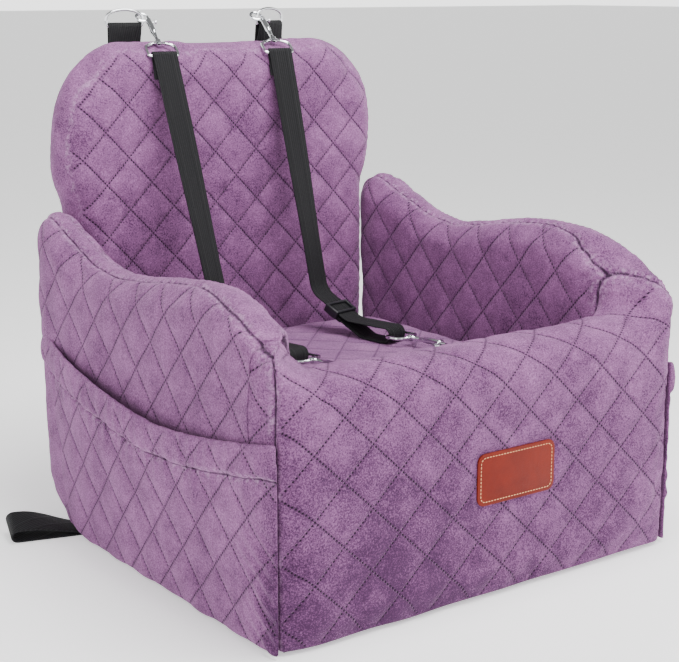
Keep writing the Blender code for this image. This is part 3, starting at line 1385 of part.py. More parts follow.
def build_zip_pull(slider, top, arch, length, steel):
    """Flat pull whose cross bar lies under the bridge of the zip's slider."""
    thin, half = ZIP_PULL_THICKNESS / 2, ZIP_PULL_WIDTH / 2
    window = ZIP_BRIDGE_WIDTH / 2 + STUD_SLACK
    pull = make_object("zip_pull", box((-thin, -thin, -half), (ZIP_PULL_LENGTH, thin, half)), steel)
    hole = as_cutter("zip_pull_window", box(
        (thin, -OVERRUN, -window), (length * 0.8 + 4 * thin, OVERRUN, window)))
    combine(pull, hole, "DIFFERENCE")
    pivot_y = top + (arch - ZIP_SLIDER_WALL) / 2
    for piece in (pull, hole):
        piece.location = Vector(slider.location) + Y_AXIS * pivot_y


# Assembly

def main():
    clear_scene()
    velvet = make_material("quilted_velvet", (0.33, 0.18, 0.35), 0.85)
    foam = make_material("foam", (0.86, 0.84, 0.76), 0.9)
    cloth = make_material("base_cloth", (0.05, 0.05, 0.055), 0.8)
    webbing = make_material("black_webbing", (0.02, 0.02, 0.022), 0.6)
    steel = make_material("chrome_steel", (0.78, 0.78, 0.80), 0.15, 1.0)
    plastic = make_material("black_plastic", (0.02, 0.02, 0.02), 0.35)
    leather = make_material("label_leather", (0.42, 0.11, 0.03), 0.5)
    build_front_wall(velvet, foam)
    build_backrest(velvet, foam)
    build_seat(velvet, foam)
    build_base_cloth(cloth)
    build_label(leather)
    build_belt_loop(webbing)
    build_zip(webbing, steel)
    meshes = {"body": hook_body_mesh(steel), "bolt": bolt_mesh(steel),
              "spring": spring_mesh(steel), "eye": eye_mesh(steel)}
    for name, side in (("left", -1), ("right", 1)):
        build_arm(name, side, velvet, foam)
        build_pocket(name, side, velvet)
        build_tab(name, side, webbing)
        build_ring(name, side, steel)
        build_tether(name, side, webbing)
        build_slider(name, side, plastic, webbing)
        build_snaps(name, side, meshes)


main()
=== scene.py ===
# %% [markdown]
# # A quilted car seat for a small dog
# The real seat is a set of sewn velvet covers over foam: a low front wall, two arms, a tall
# back and a cushion, with a gathered pocket on each side. Two straps hang from D-rings at the
# top of the back and end in bolt snaps. The CAD model holds the true sizes and the moving
# joints. This lesson dresses it: each soft piece gets a fuller form, and each surface a finish.

# %% Load the frame and keep its size
import math

import bmesh
import bpy
import numpy as np
from mathutils import Matrix, Vector
from mathutils import noise as soft_noise


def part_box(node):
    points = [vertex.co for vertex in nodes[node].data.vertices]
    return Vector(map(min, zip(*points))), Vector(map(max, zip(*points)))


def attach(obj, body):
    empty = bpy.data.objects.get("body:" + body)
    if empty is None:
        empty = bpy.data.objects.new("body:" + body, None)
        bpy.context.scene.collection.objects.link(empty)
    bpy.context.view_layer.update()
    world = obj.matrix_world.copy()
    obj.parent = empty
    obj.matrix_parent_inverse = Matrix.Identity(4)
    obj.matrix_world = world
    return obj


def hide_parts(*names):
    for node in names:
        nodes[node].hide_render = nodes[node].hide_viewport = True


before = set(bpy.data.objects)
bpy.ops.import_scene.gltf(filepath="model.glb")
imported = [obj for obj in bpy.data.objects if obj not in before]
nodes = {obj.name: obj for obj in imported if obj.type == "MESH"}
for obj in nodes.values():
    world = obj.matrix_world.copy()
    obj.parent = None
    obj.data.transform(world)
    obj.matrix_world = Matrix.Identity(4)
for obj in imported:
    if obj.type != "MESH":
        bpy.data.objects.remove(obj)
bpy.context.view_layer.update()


def put_in_scene(name, data):
    """A new object that holds the given mesh, lamp or camera."""
    made = bpy.data.objects.new(name, data)
    bpy.context.scene.collection.objects.link(made)
    return made


def select_only(*pieces):
    """Selects these objects and nothing else. The first one becomes the active one."""
    bpy.ops.object.select_all(action="DESELECT")
    for piece in pieces:
        piece.select_set(True)
    bpy.context.view_layer.objects.active = pieces[0]


# %% [markdown]
# ## Camera
# The photograph looks down a little at the front left corner with a long lens, so the upright
# edges stay nearly parallel. A lens of about 80 mm from 1.5 m away gives the same view.

# %% Camera at the photograph's angle
IMAGE_WIDTH, FOCAL_PIXELS, SENSOR = 679, 1517, 36
LOOKS_DOWN, STANDS_LEFT = 12.82, 36.14
lens = bpy.data.cameras.new("camera")
lens.sensor_fit = "HORIZONTAL"
lens.sensor_width = SENSOR
lens.lens = FOCAL_PIXELS / IMAGE_WIDTH * SENSOR
camera = put_in_scene("camera", lens)
camera.location = (-0.8469, -1.1655, 0.5256)
camera.rotation_euler = (math.radians(90 - LOOKS_DOWN), 0, math.radians(-STANDS_LEFT))
bpy.context.scene.camera = camera
print("lens in mm:", round(lens.lens, 1))

# %% [markdown]
# ## Floor and light
# A studio photograph of a soft product uses large lamps, so that the pile shows long gentle
# gradients and no hard shadow. Here a big lamp stands at the left, a weaker one low at the front
# right, and the strongest hangs above. The surroundings are bright near the horizon and dim
# overhead, which gives the chrome something to mirror, and the pale floor throws light back up.

# %% Floor and soft lamps
FLOOR_SIZE, FLOOR_HEIGHT = 60, -0.0002
bpy.ops.object.select_all(action="DESELECT")
bpy.ops.mesh.primitive_plane_add(size=FLOOR_SIZE, location=(0, 0, FLOOR_HEIGHT))
floor = bpy.context.object
floor.name = "studio_floor"


def add_lamp(name, place, size, watts, aim=(0, 0, 0.2)):
    """A square soft lamp that looks at a point."""
    lamp = bpy.data.lights.new(name, "AREA")
    lamp.size, lamp.energy = size, watts
    thing = put_in_scene(name, lamp)
    thing.location = place
    look = Vector(aim) - Vector(place)
    thing.rotation_euler = look.to_track_quat("-Z", "Y").to_euler()
    return thing


lamps = [add_lamp("key_lamp", (-1.9, -0.75, 1.5), 1.2, 11),
         add_lamp("fill_lamp", (1.15, -1.15, 0.75), 0.8, 8),
         add_lamp("top_lamp", (0.1, -0.42, 1.6), 0.9, 38)]
world = bpy.data.worlds.new("studio")
bpy.context.scene.world = world
world.use_nodes = True
sky = world.node_tree
BRIGHT_BELOW, DIM_ABOVE = 0.15, 0.60
BRIGHT, DIM = 2.6, 0.30
upward = sky.nodes.new("ShaderNodeSeparateXYZ")
sky.links.new(sky.nodes.new("ShaderNodeTexCoord").outputs["Generated"], upward.inputs[0])
ramp = sky.nodes.new("ShaderNodeMapRange")
for socket, value in zip(ramp.inputs[1:5], (BRIGHT_BELOW, DIM_ABOVE, BRIGHT, DIM)):
    socket.default_value = value
sky.links.new(upward.outputs["Z"], ramp.inputs[0])
sky.links.new(ramp.outputs[0], sky.nodes["Background"].inputs["Strength"])
sky.nodes["Background"].inputs["Color"].default_value = (1, 1, 1, 1)
print("lamps:", [lamp.name for lamp in lamps])

# %% [markdown]
# ## Helpers for finishes
# Every material is a small node tree. One function adds a node, sets it up and links it. One
# turns sRGB colours, which are read off like paint chips, into linear values.

# %% Colours and nodes


def linear(code):
    """A linear colour from an sRGB hex code."""
    parts = [int(code[i:i + 2], 16) / 255 for i in (1, 3, 5)]
    return (*[c / 12.92 if c <= 0.04045 else ((c + 0.055) / 1.055) ** 2.4 for c in parts], 1.0)


def add(tree, kind, inputs=None, **settings):
    """Adds a node, sets its settings, and fills or links its inputs."""
    made = tree.nodes.new("ShaderNode" + kind)
    for name, value in settings.items():
        setattr(made, name, value)
    for key, value in (inputs or {}).items():
        if isinstance(value, bpy.types.NodeSocket):
            tree.links.new(value, made.inputs[key])
        else:
            made.inputs[key].default_value = value
    return made


def start_material(name, roughness, metallic=0.0, **sockets):
    """A new material with its shader, and its fixed values set on the shader's own sockets."""
    material = bpy.data.materials.new(name)
    material.use_nodes = True
    shader = material.node_tree.nodes["Principled BSDF"]
    shader.inputs["Roughness"].default_value = roughness
    shader.inputs["Metallic"].default_value = metallic
    for socket, value in sockets.items():
        shader.inputs[socket.replace("_", " ").title().replace("Ior", "IOR")].default_value = value
    return material, material.node_tree, shader


def blend_colour(tree, share, one, two):
    """A mix of two colours by a share from 0 to 1."""
    mix = add(tree, "Mix", {0: share, 6: one, 7: two}, data_type="RGBA")
    return mix.outputs[2]


def calculate(tree, operation, *values):
    """One step of arithmetic."""
    return add(tree, "Math", dict(enumerate(values)), operation=operation).outputs[0]


def times(tree, one, two):
    return calculate(tree, "MULTIPLY", one, two)


def fade(tree, value, start, end, smooth=False):
    """1 at start, falling to 0 at end."""
    steps = "SMOOTHSTEP" if smooth else "LINEAR"
    return add(tree, "MapRange", {0: value, 1: start, 2: end, 3: 1.0, 4: 0.0},
               interpolation_type=steps).outputs[0]


def noise(tree, place, scale, detail=2.0, roughness=0.5):
    """Soft noise from 0 to 1. The scale counts lumps per metre."""
    return add(tree, "TexNoise", {"Vector": place, "Scale": scale, "Detail": detail,
                                  "Roughness": roughness}).outputs["Fac"]


def set_colour(tree, shader, share, one, two):
    """Mixes two sRGB colours by a share and links them to the shader."""
    colour = blend_colour(tree, share, linear(one), linear(two))
    tree.links.new(colour, shader.inputs["Base Color"])


def set_bump(tree, shader, height, distance):
    """Relief too fine for the mesh. The distance is its depth in metres."""
    bump = add(tree, "Bump", {"Height": height, "Distance": distance, "Strength": 1.0})
    tree.links.new(bump.outputs["Normal"], shader.inputs["Normal"])


floor_finish = start_material("pale_painted_studio_floor", 0.7, base_color=linear("#FBFBFB"),
                              emission_color=linear("#FFFFFF"), emission_strength=0.55)[0]
floor.data.materials.append(floor_finish)
print("linear mauve:", [round(c, 3) for c in linear("#A57FA8")])

# %% [markdown]
# ## Quilted velvet
# The covers are short-pile polyester velvet, knitted and brushed, so the pile leans different
# ways and mottles from light to dark, and it glows at grazing angles. A needle has sewn it to
# wadding in diamonds: each stitch shows as a dark dot about every 3.5 mm where the thread dips.
# The dots and the mottling are far finer than the mesh, so they belong in the material, as does
# painted shade along the stitched lines and at the front wall's lower left. Each mesh carries an
# attribute named quilt, which holds where a point lies among the diamonds, counted in diamonds,
# and how strongly it is sewn there. A second one, named seam, holds the distance to the nearest
# machine seam in mm, where the joint is dark and a pale highlight is painted on the crinkled pile.

# %% Velvet
DIAMOND_SIDE = 38.0
STITCHES_PER_SIDE = 11
STITCH_CORE, STITCH_EDGE = 0.60, 1.25
BROAD_PATCHES, SMALL_PATCHES, PILE_TUFTS = 13.0, 48.0, 700.0


def front_wall_painted_shade(tree, place):
    """Painted shade on the front wall, as a share: most at its lower left, where it gets the least
    light.
    """
    across, depth, height = add(tree, "SeparateXYZ", {0: place}).outputs
    on_front = fade(tree, depth, -0.228, -0.205)
    lower = times(tree, on_front, fade(tree, height, 0.02, 0.24))
    return times(tree, lower, fade(tree, across, -0.10, 0.35))


def make_velvet(name, deep, light, thread):
    """Knitted velvet: mottled pile, stitched diamonds, painted shade, dark seams, painted
    highlight.
    """
    material, tree, shader = start_material(
        name, 0.86, sheen_weight=0.35, sheen_roughness=0.35, sheen_tint=linear("#E6B9E2"),
        specular_ior_level=0.15)
    place = add(tree, "TexCoord").outputs["Object"]
    quilt = add(tree, "Attribute", attribute_name="quilt").outputs["Vector"]
    axes = add(tree, "SeparateXYZ", {0: quilt}).outputs
    one = calculate(tree, "ADD", axes[0], axes[1])
    two = calculate(tree, "SUBTRACT", axes[0], axes[1])
    pitch = DIAMOND_SIDE / STITCHES_PER_SIDE
    dots, gaps = [], []
    for line, along in ((one, two), (two, one)):
        off = times(tree, calculate(tree, "PINGPONG", line, 0.5), DIAMOND_SIDE)
        count = times(tree, along, STITCHES_PER_SIDE)
        step = times(tree, calculate(tree, "PINGPONG", count, 0.5), pitch)
        reach = add(tree, "CombineXYZ", {0: off, 1: step}).outputs[0]
        radius = add(tree, "VectorMath", {0: reach}, operation="LENGTH").outputs["Value"]
        dots.append(fade(tree, radius, STITCH_CORE, STITCH_EDGE))
        gaps.append(off)
    dot = times(tree, calculate(tree, "MAXIMUM", *dots), axes[2])
    near = calculate(tree, "MINIMUM", *gaps)
    groove = times(tree, fade(tree, near, 0.0, 4.0, True), axes[2])
    broad = noise(tree, place, BROAD_PATCHES, 3.0, 0.6)
    patch = noise(tree, place, SMALL_PATCHES, 4.0, 0.65)
    pile = noise(tree, place, PILE_TUFTS, 3.0, 0.8)
    share = calculate(tree, "MULTIPLY_ADD", broad, 0.6, -0.20)
    share = calculate(tree, "ADD", share, calculate(tree, "MULTIPLY_ADD", patch, 0.9, -0.37))
    share = calculate(tree, "ADD", share, calculate(tree, "MULTIPLY_ADD", pile, 2.4, -0.90))
    # Painted shade: the front wall's colour is darkened towards its lower left.
    lower_left_painted_shade = times(tree, front_wall_painted_shade(tree, place), 0.46)
    share = calculate(tree, "SUBTRACT", share, lower_left_painted_shade)
    share = add(tree, "Clamp", {0: share}).outputs[0]
    colour = blend_colour(tree, share, linear(deep), linear(light))
    # Painted shade: the cloth is darkened within 4 mm of each stitched line.
    groove_painted_shade = times(tree, groove, 0.20)
    colour = blend_colour(tree, groove_painted_shade, colour, linear(deep))
    # Painted shade: lines of one family are darkened more, as their walls face away from the light.
    one_side_painted_shade = times(tree, fade(tree, gaps[0], 0.25, 1.1), axes[2])
    colour = blend_colour(tree, times(tree, one_side_painted_shade, 0.5), colour, linear(deep))
    sewn = times(tree, dot, 0.9)
    colour = blend_colour(tree, sewn, colour, linear(thread))
    seam = add(tree, "Attribute", attribute_name="seam").outputs["Fac"]
    # Painted highlight: pale speckles on the crinkled pile beside each seam.
    seam_painted_highlight = times(tree, fade(tree, seam, 1.0, 7.0, True),
                 fade(tree, noise(tree, place, 210.0, 3.0, 0.7), 0.62, 0.48))
    seam_painted_highlight = times(tree, seam_painted_highlight, 0.32)
    colour = blend_colour(tree, seam_painted_highlight, colour, linear("#D0ABCF"))
    joint = times(tree, fade(tree, seam, 0.45, 1.3), 0.85)
    colour = blend_colour(tree, joint, colour, linear(thread))
    tree.links.new(colour, shader.inputs["Base Color"])
    height = calculate(tree, "SUBTRACT", times(tree, pile, 0.8), dot)
    height = calculate(tree, "SUBTRACT", height, times(tree, groove, 0.5))
    set_bump(tree, shader, height, 0.0009)
    return material


velvet = make_velvet("mauve_pile_velvet_sewn_in_diamonds", "#442446", "#A26C9E", "#14061A")
velvet_seat = make_velvet("mauve_pile_velvet_of_the_seat", "#5A3860", "#A2729C", "#3A2044")
print("velvet ready:", velvet.name)

# %% [markdown]
# ## From foam to a filled cover
# A real cover is cut a little larger than its foam, pulled over it and closed, so it bulges
# between its seams and shows no crisp edge. The CAD foam gives the place and outline. A copy is
# merged, grown to the cover's outside and remeshed into even squares of 5 mm. A short cloth
# simulation with air pressure then fills it, and each point's movement is limited so that the
# piece stays near its CAD size.

# %% Helpers for soft forms


def clean_copy(node, name):
    """A merged copy of a CAD node, which arrives as loose triangles."""
    piece = put_in_scene(name, nodes[node].data.copy())
    select_only(piece)
    bpy.ops.object.mode_set(mode="EDIT")
    bpy.ops.mesh.select_all(action="SELECT")
    bpy.ops.mesh.remove_doubles(threshold=0.00002)
    bpy.ops.mesh.normals_make_consistent(inside=False)
    bpy.ops.object.mode_set(mode="OBJECT")
    piece.data.materials.clear()
    return piece


def apply_modifier(piece, name, kind, **settings):
    """Adds a modifier and applies it at once."""
    modifier = piece.modifiers.new(name, kind)
    for key, value in settings.items():
        setattr(modifier, key, value)
    select_only(piece)
    bpy.ops.object.modifier_apply(modifier=name)


def remesh(piece, square=0.0050):
    """Even squares of the given size all over the form."""
    apply_modifier(piece, "even", "REMESH", mode="VOXEL", voxel_size=square)


def smooth_out(piece, rounds):
    apply_modifier(piece, "soft", "SMOOTH", factor=0.5, iterations=rounds)


def refine(piece):
    apply_modifier(piece, "fine", "SUBSURF", levels=1, render_levels=1)


def merge_flat(piece, degrees):
    """Joins neighbouring faces that lie within this angle of one plane."""
    apply_modifier(piece, "flat", "DECIMATE", decimate_type="DISSOLVE",
                   angle_limit=math.radians(degrees))


def bevel_edges(piece, width):
    """Small round edges wherever two faces meet at more than 35 degrees."""
    apply_modifier(piece, "edge", "BEVEL", width=width, segments=2, limit_method="ANGLE",
                   angle_limit=math.radians(35))


def set_material(piece, material):
    piece.data.materials.clear()
    piece.data.materials.append(material)


def points_of(piece):
    """The places of all vertices, one row each."""
    found = np.zeros(len(piece.data.vertices) * 3)
    piece.data.vertices.foreach_get("co", found)
    return found.reshape(-1, 3)


def normals_of(piece):
    found = np.zeros(len(piece.data.vertices) * 3, np.float32)
    piece.data.vertex_normals.foreach_get("vector", found)
    return found.reshape(-1, 3).astype(float)


def move_points(piece, points):
    piece.data.vertices.foreach_set("co", np.asarray(points, float).ravel())
    piece.data.update()


def soften(low, high, value):
    """A smooth step from 0 at low to 1 at high."""
    share = np.clip((value - low) / (high - low), 0, 1)
    return share * share * (3 - 2 * share)


def wander(points, scale, seed):
    """Soft noise between about -1 and 1 at every point. A larger scale has smaller lumps."""
    shift = Vector((seed, seed * 1.7, seed * 0.3))
    return np.array([soft_noise.noise(Vector(p * scale) + shift) for p in points])


def hill(value, middle, reach):
    """1 at the middle, falling away softly on both sides."""
    return np.exp(-((value - middle) / reach) ** 2)


def keep_above(piece, height):
    """Lifts every point that lies lower than the height."""
    points = points_of(piece)
    points[:, 2] = np.maximum(points[:, 2], height)
    move_points(piece, points)


print("soft-form helpers ready")

# %% Filling a cover with a short simulation
GROW = 0.0043
MOST_FILL = 0.0035
OVER_FLOOR = 0.0034


def fill_cover(piece, held, frames=14, slack=0.015):
    """Blows the cover up like a bag. The points of held stay where they are."""
    before = points_of(piece)
    group = piece.vertex_groups.new(name="held")
    group.add([int(i) for i in np.nonzero(held)[0]], 1.0, "REPLACE")
    modifier = piece.modifiers.new("filling", "CLOTH")
    cloth = dict(quality=4, mass=0.2, tension_stiffness=20, compression_stiffness=20,
                 shear_stiffness=8, bending_stiffness=0.4, use_pressure=True,
                 uniform_pressure_force=4.5, vertex_group_mass="held", shrink_min=-slack)
    for key, value in cloth.items():
        setattr(modifier.settings, key, value)
    modifier.settings.effector_weights.gravity = 0
    modifier.point_cache.frame_start, modifier.point_cache.frame_end = 1, frames
    for step in range(1, frames + 1):
        bpy.context.scene.frame_set(step)
    select_only(piece)
    bpy.ops.object.modifier_apply(modifier="filling")
    bpy.context.scene.frame_set(1)
    moved = points_of(piece) - before
    length = np.linalg.norm(moved, axis=1, keepdims=True)
    move_points(piece, before + moved * np.minimum(1, MOST_FILL / np.maximum(length, 1e-9)))
    piece.vertex_groups.clear()
    print(piece.name, "filled, most movement in mm:", round(float(length.max()) * 1000, 1))


def cover_base(node, name, grow=GROW, smooth=10):
    """The cover's plain form: the foam, merged, remeshed, smoothed and grown."""
    piece = clean_copy(node, name)
    remesh(piece)
    smooth_out(piece, smooth)
    move_points(piece, points_of(piece) + normals_of(piece) * grow)
    keep_above(piece, OVER_FLOOR)
    return piece


print("growth over the foam in mm:", GROW * 1000)

# %% [markdown]
# ## Quilting, puckers and gathers
# The quilting pulls the velvet down along two families of slanting lines, and the wadding
# stands up between them. Every line is a stitched groove, so the height falls steeply at the
# line and is nearly flat in the middle of a diamond. Where a machine seam pulls the cloth in,
# short ridges run away from the seam. Both are worked out as a height at each point and the
# point is moved along its normal.

# %% Heights for quilting and puckers
LOFT = 0.0016


def push(piece, height):
    """Moves every point out along its normal by its own height."""
    move_points(piece, points_of(piece) + normals_of(piece) * height[:, None])


def store_vectors(piece, name, rows):
    """Keeps three numbers for each point, which a material reads by this name."""
    layer = piece.data.attributes.new(name, "FLOAT_VECTOR", "POINT")
    layer.data.foreach_set("vector", np.ravel(rows))


def quilt(piece, one, two, strength, loft):
    """Raises the diamonds and stores where each point lies among them."""
    rise = np.abs(np.sin(np.pi * (one + two)) * np.sin(np.pi * (one - two)))
    push(piece, loft * strength * (rise ** 0.7 - 0.40))
    store_vectors(piece, "quilt", np.stack([one, two, strength], axis=1))


def mark_seam(piece, distance):
    """Stores how far each point is from the nearest machine seam, in mm."""
    layer = piece.data.attributes.new("seam", "FLOAT", "POINT")
    layer.data.foreach_set("value", np.minimum(distance * 1000, 50))


def pucker(piece, distance, along, depth, reach=0.018, period=0.011, seed=3.0):
    """Short ridges that run away from a seam and fade with distance."""
    uneven = wander(points_of(piece), 30, seed)
    wave = np.sin(2 * np.pi * along / period + 4 * uneven) * (0.6 + 0.6 * uneven)
    push(piece, depth * wave * np.exp(-distance / reach))


def crumple(piece, depth, scale, seed, strength=1.0):
    """Soft dents and lumps of handled cloth."""
    push(piece, depth * wander(points_of(piece), scale, seed) * strength)


def finish_cover(piece, node, material):
    """Puts the finished cover in the frame, in place of the CAD cover."""
    set_material(piece, material)
    for face in piece.data.polygons:
        face.use_smooth = True
    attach(piece, "shell")
    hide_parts(node)
    print(piece.name, "faces:", len(piece.data.polygons))


print("quilting helpers ready")

# %% [markdown]
# ## Front wall and arms
# The front wall is a long quilted bolster with a wide soft roll on top. Each arm is a thick
# cushion on edge: two quilted faces and a plain band between them, which swells towards the
# front, dips, and climbs to the back. The three covers are sewn together in slanted seams at
# the front corners, so their foam is grown and remeshed as one form, filled once, and cut into
# the three covers along the seams. That keeps the corner closed, as sewing does.

# %% One form for the three walls
CORNER_X, CORNER_Y = 0.225, -0.231
SLANT_X, SLANT_Y = 0.8, 0.6


def past_seam(points, side):
    """How far each point is past the slanted corner seam, towards the arm."""
    return (points[:, 0] * side - CORNER_X) * SLANT_X + (points[:, 1] - CORNER_Y) * SLANT_Y


def wall_form():
    """The foam of the front wall and both arms, grown until they meet, as one form."""
    made = []
    for node in ("front_wall_foam", "left_arm_foam", "right_arm_foam"):
        piece = clean_copy(node, node + "_grown")
        points = points_of(piece)
        points[points[:, 2] < 0.006, 2] -= 0.008
        for side in (-1, 1):
            ends = np.abs(past_seam(points, side)) < 0.010
            if node.startswith("front"):
                points[ends, 0] = np.clip(points[ends, 0] + side * 0.010, -0.2207, 0.2207)
            else:
                points[ends, 1] = np.maximum(points[ends, 1] - 0.012, -0.2267)
        move_points(piece, points)
        remesh(piece)
        push(piece, np.full(len(piece.data.vertices), GROW))
        made.append(piece)
    select_only(*made)
    bpy.ops.object.join()
    piece = bpy.context.object
    piece.name = "walls"
    remesh(piece)
    smooth_out(piece, 8)
    keep_above(piece, OVER_FLOOR)
    return piece


def cut_out(piece, name, sides, keep_arm):
    """A copy of the part of the form on one side of the corner seams, closed at the cut."""
    shape = bmesh.new()
    shape.from_mesh(piece.data)
    for side in sides:
        bmesh.ops.bisect_plane(
            shape, geom=shape.verts[:] + shape.edges[:] + shape.faces[:], dist=0.00001,
            plane_co=(CORNER_X * side, CORNER_Y, 0), plane_no=Vector((SLANT_X * side, SLANT_Y, 0)),
            clear_outer=not keep_arm, clear_inner=keep_arm)
        bmesh.ops.holes_fill(shape, edges=[e for e in shape.edges if e.is_boundary], sides=0)
    mesh = bpy.data.meshes.new(name)
    shape.to_mesh(mesh)
    shape.free()
    return put_in_scene(name, mesh)


walls = wall_form()
print("points in the wall form:", len(walls.data.vertices))

# %% Fill the walls
pocket_points = {name: points_of(nodes[f"{name}_pocket"]) for name in ("left", "right")}


def edge_over(points, pocket, bins=13):
    """The height of a pocket's top edge above each point, measured from its own form."""
    borders = np.linspace(pocket[:, 1].min() - 0.001, pocket[:, 1].max() + 0.001, bins + 1)
    place = np.digitize(pocket[:, 1], borders)
    known = [(borders[i - 1:i + 1].mean(), pocket[place == i, 2].max())
             for i in range(1, bins + 1) if np.any(place == i)]
    return np.interp(points[:, 1], *np.array(known).T)


shape_points = points_of(walls)
at_seam = np.minimum(np.abs(past_seam(shape_points, 1)), np.abs(past_seam(shape_points, -1)))
fill_cover(walls, (shape_points[:, 2] < 0.008) | (at_seam < 0.005))
refine(walls)
print("points in the filled walls:", len(walls.data.vertices))

# %% [markdown]
# Next come the marks of sewing and use. The arm's plain band lies between two seams, which the
# needle pulls in. The cloth behind a pocket stays smooth and sinks a little to make room. Low
# at the front of each arm the cloth is loose and crumples more.

# %% Crumples, puckers and seams of the walls
ARM_MIDDLE, BAND_EDGE, BAND_SWELL = 0.2025, 0.0090, 0.0080
points = points_of(walls)
normals = normals_of(walls)
past = np.maximum(past_seam(points, 1), past_seam(points, -1))
on_arm = past > 0
near = np.abs(past)
off_middle = np.abs(np.abs(points[:, 0]) - ARM_MIDDLE)
band_side = off_middle - BAND_EDGE - BAND_SWELL * soften(0.09, 0.16, -points[:, 1])
pocket_height = np.where(points[:, 0] < 0, edge_over(points, pocket_points["left"]),
                         edge_over(points, pocket_points["right"]))
outside = soften(0.215, 0.222, np.abs(points[:, 0]))
covered = on_arm * outside * soften(0.002, 0.010, pocket_height - points[:, 2])
free = 1 - covered

crumple(walls, 0.0011, 22, 11.0, free)
low_front = hill(points[:, 1], -0.205, 0.035) * (1 - soften(0.06, 0.20, points[:, 2]))
crumple(walls, 0.0020, 55, 5.0, low_front * free * on_arm)
pucker(walls, near, points[:, 2] + 0.3 * points[:, 1], 0.0007, reach=0.010)
upper = on_arm * soften(0.15, 0.5, np.abs(normals[:, 2]) + np.abs(normals[:, 1]))
band_near = np.where(upper > 0.01, np.abs(band_side), 1.0)
pucker(walls, band_near, points[:, 1] + points[:, 2], 0.0008, reach=0.006, period=0.009, seed=9.0)
push(walls, -0.0022 * hill(band_near, 0, 0.0026) * upper)
push(walls, -0.0026 * hill(near, 0, 0.0022) - 0.0016 * covered)
mark_seam(walls, np.minimum(band_near, near))
print("share of the walls behind pockets:", round(float(covered.mean()), 2))

# %% [markdown]
# The diamonds are counted along each cover from the place where the photograph shows a crossing
# of two lines. On the front wall they go on over the round top, so their height is measured
# along the roll.

# %% Quilting of the walls
WALL_CROSSING, WALL_DIAMOND = (-0.0183, 0.2165), (0.0575, 0.0545)
ARM_CROSSING, ARM_DIAMOND = (-0.171, 0.198), (0.052, 0.057)
over = points[:, 2] + 0.8 * (points[:, 1] - CORNER_Y)
one = np.where(on_arm, (points[:, 1] - ARM_CROSSING[0]) / ARM_DIAMOND[0],
               (points[:, 0] - WALL_CROSSING[0]) / WALL_DIAMOND[0])
two = np.where(on_arm, (points[:, 2] - ARM_CROSSING[1]) / ARM_DIAMOND[1],
               (over - WALL_CROSSING[1]) / WALL_DIAMOND[1])
strength = soften(0.003, 0.007, near) * soften(0.003, 0.008, points[:, 2]) * free
strength = strength * np.where(on_arm, soften(0.001, 0.004, band_side), 1.0)
quilt(walls, one, two, strength, LOFT)
print("diamonds over the front wall:", round(2 * CORNER_X / WALL_DIAMOND[0], 1))

# %% [markdown]
# The last changes follow the photograph. The front wall is flat behind the label. The left arm
# is fuller near its front, and its nose slopes down. The right arm's crest rises in the middle
# and its outside is drawn in at the front corner.

# %% Fit to the photograph, and cut into three covers
LABEL_BACK = -0.2336
points = points_of(walls)
across, depth, height = points.T
behind = soften(-0.029, -0.017, across) * (1 - soften(0.065, 0.077, across))
behind = behind * soften(0.079, 0.091, height) * (1 - soften(0.131, 0.143, height))
behind = behind * (depth < -0.21)
depth += behind * (np.maximum(depth, LABEL_BACK) - depth)
swell = hill(depth, -0.190, 0.060) * soften(0.12, 0.21, height)
swell = swell * soften(-0.001, 0.006, past_seam(points, -1))
swell = swell * (1 - 0.9 * soften(0.245, 0.285, height))
across += 0.015 * swell * soften(-0.224, -0.204, across)
depth -= 0.005 * swell * soften(0.225, 0.250, height)
rise = hill(depth, -0.050, 0.100) * soften(0.24, 0.29, height) * (across > 0)
height += 0.006 * rise
for level, shift in ((0.252, (-0.004, 0.0, -0.004)), (0.218, (0.011, 0.0, 0.0))):
    nose = hill(across, -0.188, 0.026) * hill(depth, -0.188, 0.040) * hill(height, level, 0.022)
    points += nose[:, None] * np.array(shift)
depth += 0.004 * soften(0.180, 0.226, -across) * (depth < -0.20)
tuck = hill(across, 0.215, 0.020) * hill(depth, -0.205, 0.035)
across += 0.012 * tuck * soften(0.19, 0.235, height)
move_points(walls, points)

covers = [cut_out(walls, "front_wall_velvet", (-1, 1), False),
          cut_out(walls, "left_arm_velvet", (-1,), True),
          cut_out(walls, "right_arm_velvet", (1,), True)]
bpy.data.objects.remove(walls)
for cover, node in zip(covers, ("front_wall_cover", "left_arm_cover", "right_arm_cover")):
    finish_cover(cover, node, velvet)

# %% [markdown]
# ## Backrest
# The back is a tall slab with round upper corners. A seam runs round the rim between the front
# panel and a narrow side band, and pulls the velvet into small crinkles.

# %% Backrest cover
BACK_MIDDLE, BACK_RIM = 0.205, 0.0185
BACK_DIAMOND = (0.050, 0.052)


def level_crest(piece, sink=0.0025, reach=0.030, slices=48):
    """Evens out the top edge, which the CAD dents in where the hooks lie."""
    points = points_of(piece)
    borders = np.linspace(-0.12, 0.12, slices + 1)
    place = np.digitize(points[:, 0], borders)
    tops = np.array([points[place == i, 2].max() for i in range(1, slices + 1)])
    lift = np.interp(points[:, 0], (borders[:-1] + borders[1:]) / 2, tops.max() - sink - tops)
    fade_out = 1 - soften(0.10, 0.12, np.abs(points[:, 0]))
    points[:, 2] += lift * fade_out * soften(tops.max() - reach, tops.max() - 0.012, points[:, 2])
    move_points(piece, points)


